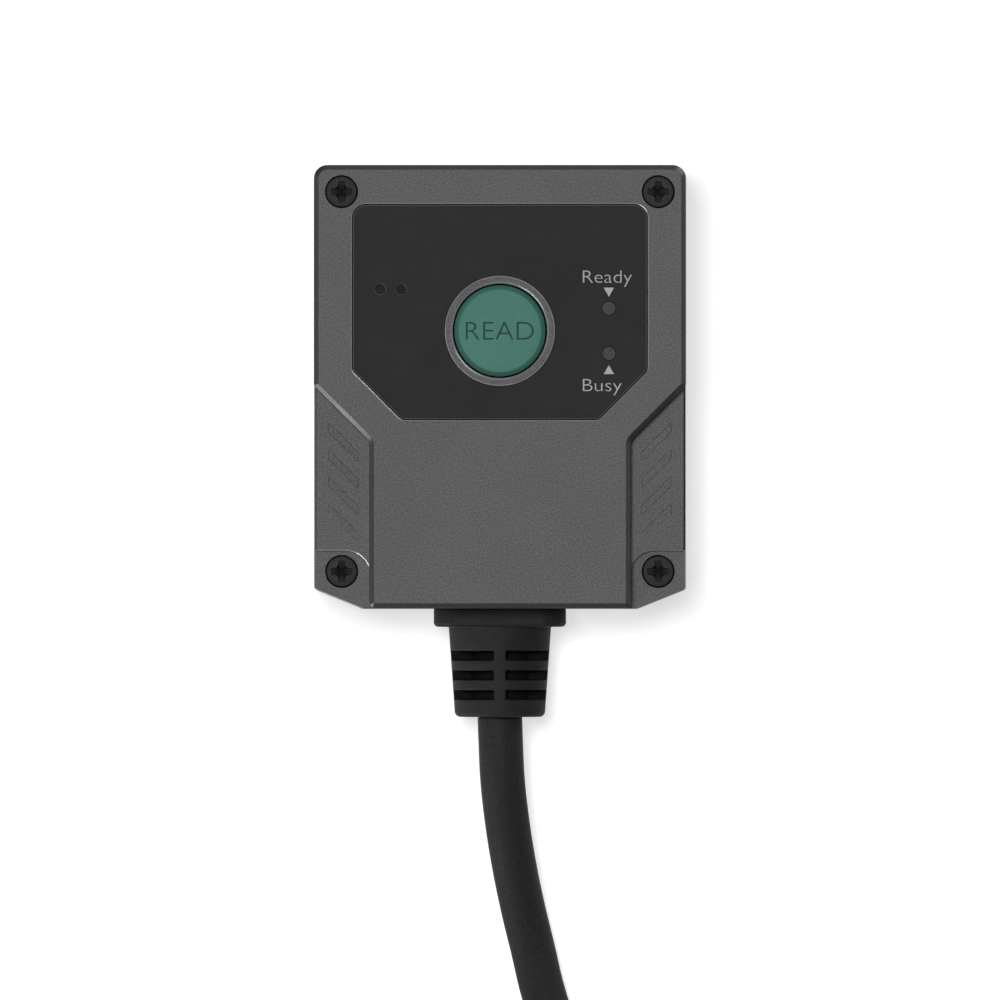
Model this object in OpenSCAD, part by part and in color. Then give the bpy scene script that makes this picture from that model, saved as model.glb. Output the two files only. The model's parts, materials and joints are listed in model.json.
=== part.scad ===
// Fixed barcode reader: a small moulded housing with a scan window at the front,
// a push button and two lamps on top, and a cable that leaves the back through a boot.
// Origin: middle of the base. +Z is up and +Y points the way the reader looks.

/* [Housing] */
// Width of the housing
body_w = 41.5; // [41:0.5:46]
// Length of the housing, front to back
body_l = 49.5; // [49:0.5:56]
// Height of the raised top face
body_h = 23.8; // [23.4:0.2:27]
// Height of the lid, from the parting plane to the raised top face
lid_h = 6.8; // [6.4:0.1:7.2]
// Thickness of the side and rear walls
wall = 2; // [1.8:0.1:2.4]
// Thickness of the front wall, round the window
front_wall = 3.5; // [3.2:0.1:4]
// Thickness of the floor
floor_t = 2.2; // [1.8:0.1:2.4]
// Thickness of the lid from its top face to its ceiling
lid_t = 2.8; // [2.6:0.1:3]
// Radius of the two front corners
front_r = 1.5; // [0.8:0.1:2]
// How far in from the side each rear corner is cut
rear_cut_x = 5.35; // [4.5:0.05:5.6]
// How far forward of the back each rear corner is cut
rear_cut_y = 2.15; // [1.5:0.05:2.3]

/* [Lid levels] */
// Drop from the top face to the shoulders
shoulder_drop = 2.4; // [2:0.1:2.6]
// Drop from the top face to the rear screw pads
pad_drop = 3.2; // [3:0.1:3.4]
// Thickness of the lid under the shoulders
shoulder_t = 1.4; // [1.2:0.1:1.6]
// Width and depth of the chamfer round the top face
band_w = 0.5; // [0.3:0.05:0.7]
// Strip of the tub's rim left showing beside the shoulders
strip_w = 0.2; // [0.1:0.05:0.3]
// Width of the raised part between the shoulders
waist_w = 29.14; // [28:0.1:30]
// Distance from the middle to where the raised part starts to narrow
waist_y = 0.17; // [-1:0.1:1]
// Radius of the inner corners where the raised part narrows
waist_r = 1.2; // [0.8:0.1:1.6]
// Length of the rear screw pads
pad_l = 6.48; // [6:0.1:7]
// Radius of the step round each pad
pad_r = 2.85; // [2.4:0.1:3]
// Slanted grooves on each shoulder
groove_n = 4; // [3:1:4]
// Spacing of the grooves
groove_pitch = 3; // [2.6:0.1:3.2]
// Width of each groove, measured along the reader
groove_t = 1.15; // [0.6:0.05:1.2]
// How far each groove runs across the shoulder
groove_span = 3.4; // [2.8:0.1:3.6]
// Depth of the grooves
groove_deep = 0.1; // [0.05:0.05:0.2]

/* [Screws and inserts] */
// Distance of the lid screws from the side
screw_side = 3.09; // [3:0.1:3.4]
// Distance of the front lid screws from the front
screw_front = 2.99; // [2.9:0.1:3.4]
// Distance of the rear lid screws from the back
screw_rear = 4.17; // [4.1:0.1:4.6]
// Radius of the lid screws' heads
head_r = 1.68; // [1.5:0.05:1.7]
// Height of the lid screws' heads
head_h = 1.3; // [1.1:0.1:1.4]
// Length of the lid screws below the head
screw_l = 8; // [7.5:0.5:9]
// Radius of the lid screws' shanks
shank_r = 0.95; // [0.9:0.05:1]
// Length of the brass inserts for the lid screws
insert_l = 4; // [3:0.5:4.5]
// Wall of the brass inserts
insert_wall = 0.6; // [0.5:0.05:0.65]
// Wall of the bosses round the inserts
boss_wall = 1.3; // [1.2:0.1:1.35]
// Spacing of the mounting holes across the base
base_x = 28; // [27:0.5:29]
// Distance of the mounting holes from the front and the back
base_end = 9.75; // [9.5:0.25:10.25]
// Radius of the thread in the mounting inserts
base_thread_r = 1.25; // [1.2:0.05:1.3]
// Length of the mounting inserts
base_insert_l = 5; // [4:0.5:5.5]

/* [Panel] */
// Distance of the panel's recess from the sides
panel_side = 4.25; // [3.75:0.25:4.75]
// Distance of the recess from the front
panel_front = 4.35; // [4.2:0.05:4.8]
// Length of the recess
panel_l = 24.1; // [23:0.1:25]
// Size of the cut at the recess's rear corners
panel_cut = 5.5; // [4:0.5:6.5]
// Radius of the recess's front corners
panel_r = 1.6; // [1:0.1:2]
// Depth of the recess
panel_deep = 0.6; // [0.5:0.05:0.7]
// Thickness of the panel
panel_t = 0.5; // [0.4:0.05:0.5]
// Gap round the panel
panel_gap = 0.12; // [0.1:0.02:0.2]

/* [Button and lamps] */
// Distance of the button from the front
button_front = 18.5; // [18:0.1:19]
// Radius of the button
button_r = 5.08; // [4.8:0.02:5.2]
// Gap between the button and its collar
button_gap = 0.19; // [0.15:0.02:0.25]
// Width of the collar round the button
collar_w = 0.88; // [0.6:0.04:1]
// Height of the collar above the top face
collar_rise = 0.3; // [0.2:0.05:0.4]
// Height of the button above the collar
button_rise = 0.2; // [0.1:0.05:0.4]
// Travel of the button
button_travel = 0.5; // [0.3:0.05:0.5]
// Distance of the lamps from the middle
lamp_x = 12.15; // [12:0.05:12.4]
// Spacing of the two lamps
lamp_pitch = 5.04; // [4.8:0.04:5.4]
// Radius of the lamps
lamp_r = 0.75; // [0.6:0.05:0.85]
// Radius of the beeper's holes
sound_r = 0.6; // [0.4:0.05:0.7]
// Spacing of the beeper's holes
sound_pitch = 2.34; // [2:0.1:2.6]
// Distance of the beeper's holes from the middle
sound_x = 12.2; // [12:0.1:12.4]
// Distance of the beeper's holes from the front
sound_front = 13.85; // [13.6:0.1:14]

/* [Window and engine] */
// Distance of the scan window from the sides
window_side = 5.25; // [5.25:0.25:6.25]
// Height of the scan window
window_h = 11.6; // [11:0.2:11.6]
// Thickness of the scan window
window_t = 1.5; // [1.2:0.1:1.7]
// Thickness of the window's gasket
gasket_t = 0.5; // [0.4:0.05:0.6]
// Width of the ledge that the gasket lies on
ledge_w = 1.3; // [1:0.1:1.5]
// Width of the scan engine
engine_w = 20; // [19.5:0.1:20.4]
// Height of the scan engine
engine_h = 9.6; // [9.4:0.1:10.4]
// Depth of the scan engine
engine_l = 12; // [11:0.5:12.5]
// Radius of the lens barrel
barrel_r = 3.4; // [3:0.1:3.6]

/* [Boot and cable] */
// Height of the cable's axis where it leaves the housing
cable_z = 9.5; // [9.2:0.1:9.8]
// Diameter of the cable
cable_d = 5; // [4.5:0.1:5.4]
// Width of the boot's flange
flange_w = 14.8; // [14:0.2:16]
// Height of the boot's flange
flange_h = 13; // [12:0.2:14]
// Thickness of the boot's flange
flange_t = 2.05; // [1.8:0.05:2.4]
// Length of the boot behind its flange
boot_l = 10.1; // [9.5:0.1:11]
// Radius of the boot at its flange
boot_r1 = 5.74; // [5.6:0.02:5.9]
// Radius of the boot at its end
boot_r2 = 5.03; // [4.8:0.02:5.2]
// Width of the boot's slots
slot_w = 1; // [0.8:0.05:1.2]
// Spacing of the boot's slots
slot_pitch = 2.2; // [2:0.05:2.4]
// Turns that the coil's bundle is wide and high
coil_turns = 3; // [3:1:3]
// Radius of the coil at the middle of its turns
coil_r = 27.5; // [26:0.5:29]

/* [Plug] */
// Length of the plug's grip
grip_l = 22; // [20:1:24]
// Width of the plug's grip
grip_w = 16; // [15:0.5:17]
// Height of the plug's grip
grip_h = 8; // [7.6:0.2:8.4]
// Length of the strain relief behind the grip
relief_l = 12; // [10:1:14]
// Length of the plug's shell beyond the grip
shell_l = 12; // [11.8:0.1:12.5]
// Width of the plug's shell
shell_w = 12; // [11.8:0.1:12.2]
// Height of the plug's shell
shell_h = 4.5; // [4.4:0.05:4.7]
// Thickness of the shell's sheet
sheet_t = 0.3; // [0.25:0.05:0.35]

/* [Hidden] */

$fn = 48;
arc_n = 5;          // steps in each rounded corner
slack = 0.05;       // clearance of pieces that are pushed or glued in
cut = 1;            // how far a cutter runs past a face
lip_w = 0.2;        // chamfer inside the collar's rim

// Housing: planes and places that several pieces share
front_y = body_l / 2;
back_y = -body_l / 2;
side_x = body_w / 2;
split_z = body_h - lid_h;
shoulder_z = body_h - shoulder_drop;
pad_z = body_h - pad_drop;
ceiling_z = body_h - lid_t;
plateau_back = 0.1;
groove_first = 4.05;
screw_x = side_x - screw_side;
screw_y1 = front_y - screw_front;
screw_y2 = back_y + screw_rear;
screw_sink = 0.2;
seat_z1 = body_h - screw_sink - head_h;
seat_z2 = pad_z - screw_sink - head_h;
head_gap = 0.17;
insert_r = shank_r + slack + insert_wall;
boss_r = insert_r + boss_wall;
insert_deep = 0.8;
base_r = base_thread_r + insert_wall + 0.25;
base_boss_r = base_r + 1.1;
base_boss_h = base_insert_l + 1.5;
base_y = body_l - 2 * base_end;
seal_in = 0.65;
seal_w = 0.7;
seal_t = 0.6;
eyelet_r = insert_r + 0.3;

// Top: button, lamps and sounder
button_y = front_y - button_front;
button_hole_r = button_r + button_gap;
collar_r = button_hole_r + collar_w;
collar_z = body_h + collar_rise;
button_z = collar_z + button_rise;
button_bevel = 0.5;
button_play = 0.1;
button_lip = 0.9;
button_lip_t = 0.8;
button_skin = 1.2;
recess_z = body_h - panel_deep;
panel_w = body_w - 2 * panel_side;
panel_y1 = front_y - panel_front;
panel_y2 = panel_y1 - panel_l;
sound_y = front_y - sound_front;
pipe_z = recess_z + panel_t;
pipe_lip = 0.5;
pipe_lip_t = 1;

// Main board, hung from the lid by four posts
post_h = 3.8;
post_r = 2.1;
post_pilot_r = 0.8;
board_t = 1.2;
board_z = ceiling_z - post_h;
board_under = board_z - board_t;
board_gap = 1.4;
board_w = body_w - 2 * wall - 2.5 * board_gap;
board_y1 = screw_y1 - boss_r - board_gap;
board_y2 = screw_y2 + boss_r + board_gap;
post_x = board_w / 2 - post_r - 0.4;
post_y1 = board_y1 - post_r - 0.4;
post_x2 = waist_w / 2 - wall - post_r - 0.4;
post_y2 = board_y2 + post_r + 0.4;
board_screw_l = 4;
board_head_r = 1.7;
board_head_h = 1.2;
switch_w = 6.2;
switch_h = 1.8;
plunger_r = 1.7;
plunger_rise = 0.6;
plunger_gap = 0.15;
switch_base = 0.2;
beeper_w = 8.5;
beeper_h = 3;
beeper_y = sound_y - beeper_w / 2 + 1.35;
led_h = 0.6;
led_gap = 0.3;

// Scan engine, standing on ledges of the floor behind the window
engine_gap = 1.25;
engine_over = 1;
engine_z = board_under - engine_over - engine_h;
lens_z = engine_z + engine_h / 2;
engine_y1 = front_y - front_wall - engine_gap;
engine_y2 = engine_y1 - engine_l;
window_sink = 0.2;
window_w = body_w - 2 * window_side;
window_pocket = window_t + gasket_t + window_sink;
window_r = 1;
ear_w = 3.4;
ear_l = 3.4;
ear_h = 2;
ear_x = engine_w / 2 + ear_w / 2 - 0.2;
ear_y = engine_y2 + ear_l / 2;
engine_screw_r = 0.75;
engine_head_r = 1.4;
engine_head_h = 1;
engine_screw_l = 4;
pcb_t = 1;
pcb_y = engine_y2 - pcb_t;
led_x = 7.2;
led_r = 1.6;
aim_x = 4.4;
aim_r = 1.05;
aim_up = 3.2;
led_l = 3;
aim_l = 4;
board_hole_x = engine_w / 2 - 1.8;
board_hole_z = engine_z + 1.8;
barrel_out = 0.6;
barrel_wall = 1;
barrel_deep = 4;
pcb_screw_l = 2.5;

// Ribbon and cable plug under the main board
flex_w = 10;
flex_t = 0.2;
flex_socket_w = 12;
flex_socket_l = 3;
flex_socket_h = 1.1;
flex_r = 1.4;
flex_z = lens_z + 1.5;
flex_up_y = pcb_y - flex_socket_h - flex_r;
socket_w = 10;
socket_l = 5;
socket_h = 3.5;
socket_y = -6;
lead_plug_l = 6;
lead_plug_h = 2.6;
lead_n = 4;
lead_r = 0.5;
lead_pitch = 1.5;

// Boot and cable. The route's points run along the floor to the coil.
neck_r = 4.2;
neck_lip_r = 5.4;
neck_lip_t = 1.2;
flange_r = 0.45;
flange_corner = 3;
boot_core_r = 3.3;
rib_w = 1.38;
slot_low = 0.9;
slot_n = 3;
slot_first = 3.2;
boot_y = back_y - flange_t - boot_l;
cable_sides = 10;
route = [
    [0, boot_y, cable_z], [0.1, -40, 9.4], [0.3, -44, 8.8], [0.8, -48.5, 7.6],
    [1.5, -53, 6], [2.5, -58, 4.3], [3.7, -63, 3.1], [4.9, -68, 2.6],
    [6.75, -73.3, 2.5], [9.8, -78.3, 2.6], [13.6, -82.4, 2.9], [18.1, -85.7, 3.3]
];
tie_angle = 187.5;
tie_t = 0.6;
tie_gap = 0.2;
tie_w = 4;
coil_x = 1.85;
coil_y = -113.85;
coil_lift = tie_t + tie_gap;
coil_w = coil_turns * cable_d;
coil_top = coil_lift + coil_w;
tail = [
    [-24, -104.4, 13.3], [-19.2, -96.2, 14.4], [-11.9, -90, 16.5], [-2.9, -86.8, 18.2],
    [6.6, -86.8, 18.6], [14.1, -89, 18.6], [20.9, -92.7, 18.6], [26.7, -97.8, 18.6],
    [31.4, -103.9, 18.7], [34.2, -112.1, 18.7], [33.3, -120.8, 19], [29, -128.3, 19.4],
    [21.9, -133.5, 19.8], [13.4, -135.3, 19.9], [12.4, -135.3, 19.9]
];
plug_at = tail[len(tail) - 1];
relief_r1 = cable_d / 2 + 0.6;
relief_r2 = 3.6;
grip_r = 1.5;
tongue_w = shell_w - 2 * sheet_t - 0.4;
tongue_h = 1.9;
contact_w = 1;
contact_t = 0.15;
contact_l = 7;

// Corners of the housing and of the raised top, counter-clockwise from the front right
body_corners = [
    [side_x, front_y], [-side_x, front_y], [-side_x, back_y + rear_cut_y],
    [-side_x + rear_cut_x, back_y], [side_x - rear_cut_x, back_y], [side_x, back_y + rear_cut_y]
];
body_radii = [front_r, front_r, 0.45, 0.8, 0.8, 0.45];
waist_x = waist_w / 2;
waist_y2 = waist_y - (side_x - waist_x);
plateau_corners = [
    [side_x, front_y], [-side_x, front_y], [-side_x, waist_y], [-waist_x, waist_y2],
    [-waist_x, back_y + plateau_back], [waist_x, back_y + plateau_back],
    [waist_x, waist_y2], [side_x, waist_y]
];
plateau_radii = [front_r, front_r, 0.3, waist_r, 0.6, 0.6, waist_r, 0.3];
panel_corners = [
    [panel_w / 2, panel_y1], [-panel_w / 2, panel_y1],
    [-panel_w / 2, panel_y2 + panel_cut], [-panel_w / 2 + panel_cut, panel_y2],
    [panel_w / 2 - panel_cut, panel_y2], [panel_w / 2, panel_y2 + panel_cut]
];
panel_radii = [panel_r, panel_r, 1, 1, 1, 1];
lamp_ys = [button_y + lamp_pitch / 2, button_y - lamp_pitch / 2];
screw_seats = [
    [screw_x, screw_y1, seat_z1], [-screw_x, screw_y1, seat_z1],
    [screw_x, screw_y2, seat_z2], [-screw_x, screw_y2, seat_z2]
];
post_places = [
    [post_x, post_y1], [-post_x, post_y1], [post_x2, post_y2], [-post_x2, post_y2]
];

// Outlines: move every edge inwards, and round every corner
function unit(v) = v / norm(v);
function left_of(v) = [-v.y, v.x];
function before(p, i) = p[(i + len(p) - 1) % len(p)];
function after(p, i) = p[(i + 1) % len(p)];
function turn(u, v) = atan2(u.x * v.y - u.y * v.x, u * v);
function inset(p, d) = [
    for (i = [0 : len(p) - 1])
        let (
            a = left_of(unit(p[i] - before(p, i))),
            b = left_of(unit(after(p, i) - p[i]))
        )
        p[i] + d * (a + b) / (1 + a * b)
];
function spun(v, t) = [v.x * cos(t) - v.y * sin(t), v.x * sin(t) + v.y * cos(t)];
function rounded(p, radii) = [
    for (i = [0 : len(p) - 1])
        let (
            u = unit(p[i] - before(p, i)),
            v = unit(after(p, i) - p[i]),
            t = turn(u, v),
            start = p[i] - u * radii[i] * tan(abs(t) / 2),
            middle = start + left_of(u) * sign(t) * radii[i]
        )
        for (k = [0 : arc_n]) middle + spun(start - middle, t * k / arc_n)
];
function inset_radii(p, radii, d) = [
    for (i = [0 : len(p) - 1])
        max(0.05, radii[i] - d * sign(turn(p[i] - before(p, i), after(p, i) - p[i])))
];
function outline(p, radii, d) = rounded(inset(p, d), inset_radii(p, radii, d));
function raised(p, z) = [for (q = p) [q.x, q.y, z]];

// A tube's rings: each lies across the way that the route takes there
function way(p, i) = unit(p[min(i + 1, len(p) - 1)] - p[max(i - 1, 0)]);
function ring(c, w, r, n) =
    let (a = unit(cross(w, [0, 0, 1])), b = cross(a, w))
    [for (k = [0 : n - 1]) c + r * (cos(360 * k / n) * a + sin(360 * k / n) * b)];

// A solid through rings that have as many points each, an even number. Strips from side to
// side close its ends, so a ring may have a waist; start is the first point of one side
module loft(rings, start = 0) {
    n = len(rings[0]);
    m = len(rings);
    walls = [
        for (j = [0 : m - 2])
            for (k = [0 : n - 1])
                let (a = j * n, b = a + n, l = (k + 1) % n)
                for (f = [[a + k, b + l, a + l], [a + k, b + k, b + l]]) f
    ];
    first = [
        for (k = [0 : n / 2 - 2])
            [for (i = [k, k + 1, -k - 2, -k - 1]) (start + i + n) % n]
    ];
    last = [for (f = first) [for (i = [3 : -1 : 0]) (m - 1) * n + f[i]]];
    polyhedron([for (r = rings) each r], concat(walls, first, last));
}

module tube(points, r, n) {
    loft([for (i = [0 : len(points) - 1]) ring(points[i], way(points, i), r, n)]);
}

module at_corners(x, y) {
    for (sx = [-1, 1])
        for (sy = [-1, 1]) translate([sx * x, sy * y, 0]) children();
}

module rounded_rect(w, h, r) {
    polygon(rounded([[w, h] / 2, [-w, h] / 2, [-w, -h] / 2, [w, -h] / 2], [r, r, r, r]));
}

// Upright plate that faces the front, its front face at y
module upright(y, z, t) {
    translate([0, y, z]) rotate([90, 0, 0]) linear_extrude(t) children();
}

// Round bar that runs back from y
module bar_back(x, y, z, r, l) {
    translate([x, y, z]) rotate([90, 0, 0]) cylinder(r = r, h = l);
}

// Space inside the housing, seen from above
module inner_shape() {
    intersection() {
        polygon(outline(body_corners, body_radii, wall));
        translate([-side_x, back_y]) square([body_w, body_l - front_wall]);
    }
}

// Line of the gasket, with an eyelet round each lid screw
module seal_shape(gap) {
    difference() {
        polygon(outline(body_corners, body_radii, seal_in - gap));
        for (s = screw_seats) translate([s.x, s.y]) circle(r = eyelet_r - gap);
        difference() {
            polygon(outline(body_corners, body_radii, seal_in + seal_w + gap));
            for (s = screw_seats) translate([s.x, s.y]) circle(r = eyelet_r + seal_w + gap);
        }
    }
}

// Moulded tub: walls, corner bosses, base bosses, engine ledges, window pocket
module lower_case() {
    color("dimgray") difference() {
        linear_extrude(split_z) polygon(outline(body_corners, body_radii, 0));
        difference() {
            translate([0, 0, floor_t]) linear_extrude(split_z) inner_shape();
            for (s = screw_seats) translate([s.x, s.y, 0]) cylinder(r = boss_r, h = split_z);
            at_corners(base_x / 2, base_y / 2) cylinder(r = base_boss_r, h = base_boss_h);
            for (sx = [-1, 1]) {
                translate([sx * ear_x, ear_y, 0]) cylinder(r = ear_w / 2, h = engine_z);
                translate([sx * engine_w / 4 - 1, engine_y2, 0]) cube([2, engine_l, engine_z]);
            }
        }
        for (s = screw_seats) {
            translate([s.x, s.y, split_z - insert_l]) cylinder(r = insert_r, h = insert_l + cut);
            translate([s.x, s.y, seat_z2 - screw_l - insert_deep])
                cylinder(r = shank_r + slack, h = split_z);
        }
        at_corners(base_x / 2, base_y / 2) translate([0, 0, -cut])
            cylinder(r = base_r, h = base_insert_l + cut);
        for (sx = [-1, 1]) translate([sx * ear_x, ear_y, engine_z - engine_screw_l + ear_h - 0.4])
            cylinder(r = engine_screw_r + slack, h = engine_screw_l);
        upright(front_y + cut, lens_z, window_pocket + cut)
            rounded_rect(window_w, window_h, window_r);
        upright(front_y + cut, lens_z, front_wall + 2 * cut)
            rounded_rect(window_w - 2 * ledge_w, window_h - 2 * ledge_w, window_r);
        bar_back(0, back_y + wall + cut, cable_z, neck_r + slack, wall + 2 * cut);
        translate([0, 0, split_z - seal_t]) linear_extrude(seal_t + cut) seal_shape(slack);
    }
}

// Area of the two rear screw pads, seen from above
module pad_shape() {
    pad_x = waist_x + pad_r;
    pad_y = back_y + pad_l - pad_r;
    for (s = [0, 1]) mirror([s, 0]) {
        translate([pad_x, pad_y]) circle(r = pad_r);
        translate([pad_x, back_y - cut]) square([side_x, pad_l + cut]);
        translate([waist_x - cut, back_y - cut]) square([side_x, pad_l - pad_r + cut]);
    }
}

// One slanted groove on the right shoulder, sloping back towards the middle
module shoulder_groove() {
    polygon([[0, 0], [-groove_span, -groove_span], [-groove_span, -groove_span - groove_t], [0, -groove_t]]);
}

module shoulder_grooves() {
    groove_x = (side_x + waist_x + groove_span) / 2 - strip_w;
    groove_y = waist_y - groove_first;
    for (s = [0, 1])
        mirror([s, 0, 0])
            for (i = [0 : groove_n - 1])
                translate([groove_x, groove_y - i * groove_pitch, shoulder_z - groove_deep])
                    linear_extrude(groove_deep + cut) shoulder_groove();
}

// Outer form of the lid: raised top with a chamfered edge, shoulders and pads
module cover_form() {
    foot = outline(plateau_corners, plateau_radii, 0);
    top = outline(plateau_corners, plateau_radii, band_w);
    rings = [raised(foot, split_z - 3), raised(foot, body_h - band_w), raised(top, body_h)];
    loft(rings, arc_n + 1);
    translate([0, 0, split_z - 2]) linear_extrude(shoulder_z - split_z + 2) difference() {
        polygon(outline(body_corners, body_radii, strip_w));
        pad_shape();
    }
    translate([0, 0, split_z - 1]) linear_extrude(pad_z - split_z + 1) intersection() {
        polygon(outline(body_corners, body_radii, 0));
        translate([-side_x, back_y]) square([body_w, pad_l]);
    }
}

// Hollow of the lid: one ceiling under the shoulders, a higher one under the raised top
module cover_hollow() {
    translate([0, 0, split_z - cut]) linear_extrude(shoulder_z - shoulder_t - split_z + cut)
        inner_shape();
    translate([0, 0, split_z - 2 * cut]) linear_extrude(ceiling_z - split_z + 2 * cut)
        intersection() {
            inner_shape();
            polygon(outline(plateau_corners, plateau_radii, wall + slack));
        }
}

// Moulded lid with its panel recess, button collar, screw bosses and board posts
module top_cover() {
    color("dimgray") difference() {
        union() {
            difference() {
                cover_form();
                translate([0, 0, recess_z]) linear_extrude(panel_deep + cut)
                    polygon(outline(panel_corners, panel_radii, 0));
                translate([0, 0, split_z - 4]) linear_extrude(4) square(2 * body_l, center = true);
                difference() {
                    cover_hollow();
                    for (s = screw_seats) translate([s.x, s.y, 0]) cylinder(r = boss_r, h = body_h);
                }
            }
            translate([0, button_y, recess_z - slack])
                cylinder(r = collar_r, h = collar_z - recess_z + slack);
            for (p = post_places) translate([p.x, p.y, board_z]) cylinder(r = post_r, h = post_h + cut);
        }
        for (p = post_places) translate([p.x, p.y, board_z - cut])
            cylinder(r = post_pilot_r, h = post_h);
        for (s = screw_seats) {
            translate(s) cylinder(r = head_r + head_gap, h = body_h);
            translate([s.x, s.y, split_z - cut]) cylinder(r = shank_r + 2 * slack, h = body_h);
        }
        translate([0, button_y, ceiling_z - cut]) cylinder(r = button_hole_r, h = body_h);
        translate([0, button_y, collar_z - lip_w])
            cylinder(r1 = button_hole_r, r2 = button_hole_r + lip_w + cut, h = lip_w + cut);
        for (y = lamp_ys) translate([lamp_x, y, ceiling_z - cut])
            cylinder(r = lamp_r + slack, h = body_h);
        shoulder_grooves();
        sound_holes();
    }
}

module sound_holes() {
    for (s = [-1, 1]) translate([s * sound_pitch / 2 - sound_x, sound_y, ceiling_z - cut])
        cylinder(r = sound_r, h = body_h);
}

// Thin dark plate glued into the recess, cut out round the collar, lamps and sound holes
module label_panel() {
    color([0.12, 0.12, 0.12]) difference() {
        translate([0, 0, recess_z]) linear_extrude(panel_t)
            polygon(outline(panel_corners, panel_radii, panel_gap));
        translate([0, button_y, recess_z - cut]) cylinder(r = collar_r + slack, h = body_h);
        for (y = lamp_ys) translate([lamp_x, y, recess_z - cut])
            cylinder(r = lamp_r + slack, h = body_h);
        sound_holes();
    }
}

// Push button: a bevelled cap with a lip that keeps it in and a stem on the switch
module scan_button() {
    lip_z = ceiling_z - button_play;
    stem_z = board_z + switch_h + plunger_rise;
    hollow_r = button_r - button_skin;
    color([0.24, 0.45, 0.39]) translate([0, button_y, 0]) rotate_extrude() polygon([
        [0, stem_z], [plunger_r, stem_z], [plunger_r, button_z - button_skin],
        [hollow_r, button_z - button_skin], [hollow_r, lip_z - button_lip_t],
        [button_r + button_lip, lip_z - button_lip_t], [button_r + button_lip, lip_z],
        [button_r, lip_z], [button_r, button_z - button_bevel],
        [button_r - button_bevel, button_z], [0, button_z]
    ]);
}

// Moving plunger of the switch under the button
module switch_plunger() {
    color("black") translate([0, button_y, board_z + switch_base + button_travel + slack])
        cylinder(r = plunger_r, h = switch_h + plunger_rise - switch_base - button_travel - slack);
}

// Cross recess pressed into a screw's head
module cross_recess(span, arm, deep) {
    for (t = [0, 90]) rotate(t) translate([-span / 2, -arm / 2, -deep])
        cube([span, arm, deep + cut]);
}

module cover_screws() {
    recess_span = 2.37;
    recess_arm = 0.75;
    recess_deep = 0.8;
    color([0.2, 0.2, 0.2]) for (s = screw_seats) translate(s) difference() {
        union() {
            cylinder(r = head_r, h = head_h);
            translate([0, 0, -screw_l]) cylinder(r = shank_r, h = screw_l + head_h / 2);
        }
        translate([0, 0, head_h]) cross_recess(recess_span, recess_arm, recess_deep);
    }
}

module cover_inserts() {
    color("goldenrod") for (s = screw_seats) translate([s.x, s.y, split_z - insert_l])
        difference() {
            cylinder(r = insert_r - slack / 5, h = insert_l);
            translate([0, 0, -cut]) cylinder(r = shank_r + slack, h = insert_l + 2 * cut);
        }
}

module base_inserts() {
    color("goldenrod") at_corners(base_x / 2, base_y / 2) difference() {
        cylinder(r = base_r - slack / 5, h = base_insert_l);
        translate([0, 0, -cut]) cylinder(r = base_thread_r, h = base_insert_l + 2 * cut);
    }
}

module scan_window() {
    color([0.25, 0.05, 0.05, 0.8]) upright(front_y - window_sink, lens_z, window_t)
        rounded_rect(window_w - 2 * slack, window_h - 2 * slack, window_r - slack);
}

module window_seal() {
    color("black") upright(front_y - window_sink - window_t, lens_z, gasket_t) difference() {
        rounded_rect(window_w - 2 * slack, window_h - 2 * slack, window_r - slack);
        rounded_rect(window_w - 2 * ledge_w, window_h - 2 * ledge_w, window_r);
    }
}

module case_seal() {
    color("black") translate([0, 0, split_z - seal_t]) linear_extrude(seal_t) seal_shape(0);
}

// Clear pin that carries a lamp's light up through lid and panel
module light_pipe(y) {
    pipe_low = board_z + led_h + led_gap;
    translate([lamp_x, y, 0]) {
        translate([0, 0, pipe_low]) cylinder(r = lamp_r, h = pipe_z - pipe_low);
        translate([0, 0, ceiling_z - pipe_lip_t]) cylinder(r = lamp_r + pipe_lip, h = pipe_lip_t);
    }
}

module upper_light_pipe() {
    color([0.26, 0.28, 0.26]) light_pipe(lamp_ys[0]);
}

module lower_light_pipe() {
    color([0.26, 0.28, 0.26]) light_pipe(lamp_ys[1]);
}

module main_board() {
    color("darkgreen") translate([0, 0, board_under]) linear_extrude(board_t) difference() {
        translate([-board_w / 2, board_y2]) square([board_w, board_y1 - board_y2]);
        for (p = post_places) translate(p) circle(r = post_pilot_r + slack);
    }
}

module board_screws() {
    color("silver") for (p = post_places) translate([p.x, p.y, board_under]) difference() {
        union() {
            translate([0, 0, -board_head_h]) cylinder(r = board_head_r, h = board_head_h);
            translate([0, 0, -board_head_h / 2])
                cylinder(r = post_pilot_r - slack / 5, h = board_screw_l + board_head_h / 2);
        }
        rotate([180, 0, 0]) translate([0, 0, board_head_h]) cross_recess(2, 0.5, 0.6);
    }
}

module main_chip() {
    chip_w = 8;
    chip_h = 0.9;
    color([0.1, 0.1, 0.1]) translate([-chip_w / 2, button_y - switch_w / 2 - 2 - chip_w, board_z])
        cube([chip_w, chip_w, chip_h]);
}

module tact_switch() {
    color("gray") translate([0, button_y, board_z]) difference() {
        translate([-switch_w / 2, -switch_w / 2, 0]) cube([switch_w, switch_w, switch_h]);
        translate([0, 0, switch_base]) cylinder(r = plunger_r + plunger_gap, h = switch_h);
    }
}

module beeper() {
    color([0.1, 0.1, 0.1]) translate([-sound_x, beeper_y, board_z]) difference() {
        translate([-beeper_w / 2, -beeper_w / 2, 0]) cube([beeper_w, beeper_w, beeper_h]);
        translate([0, 0, beeper_h / 2]) cylinder(r = sound_r, h = beeper_h);
    }
}

module status_leds() {
    led_w = 1.6;
    led_l = 0.8;
    color("ivory") for (y = lamp_ys) translate([lamp_x - led_w / 2, y - led_l / 2, board_z])
        cube([led_w, led_l, led_h]);
}

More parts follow.
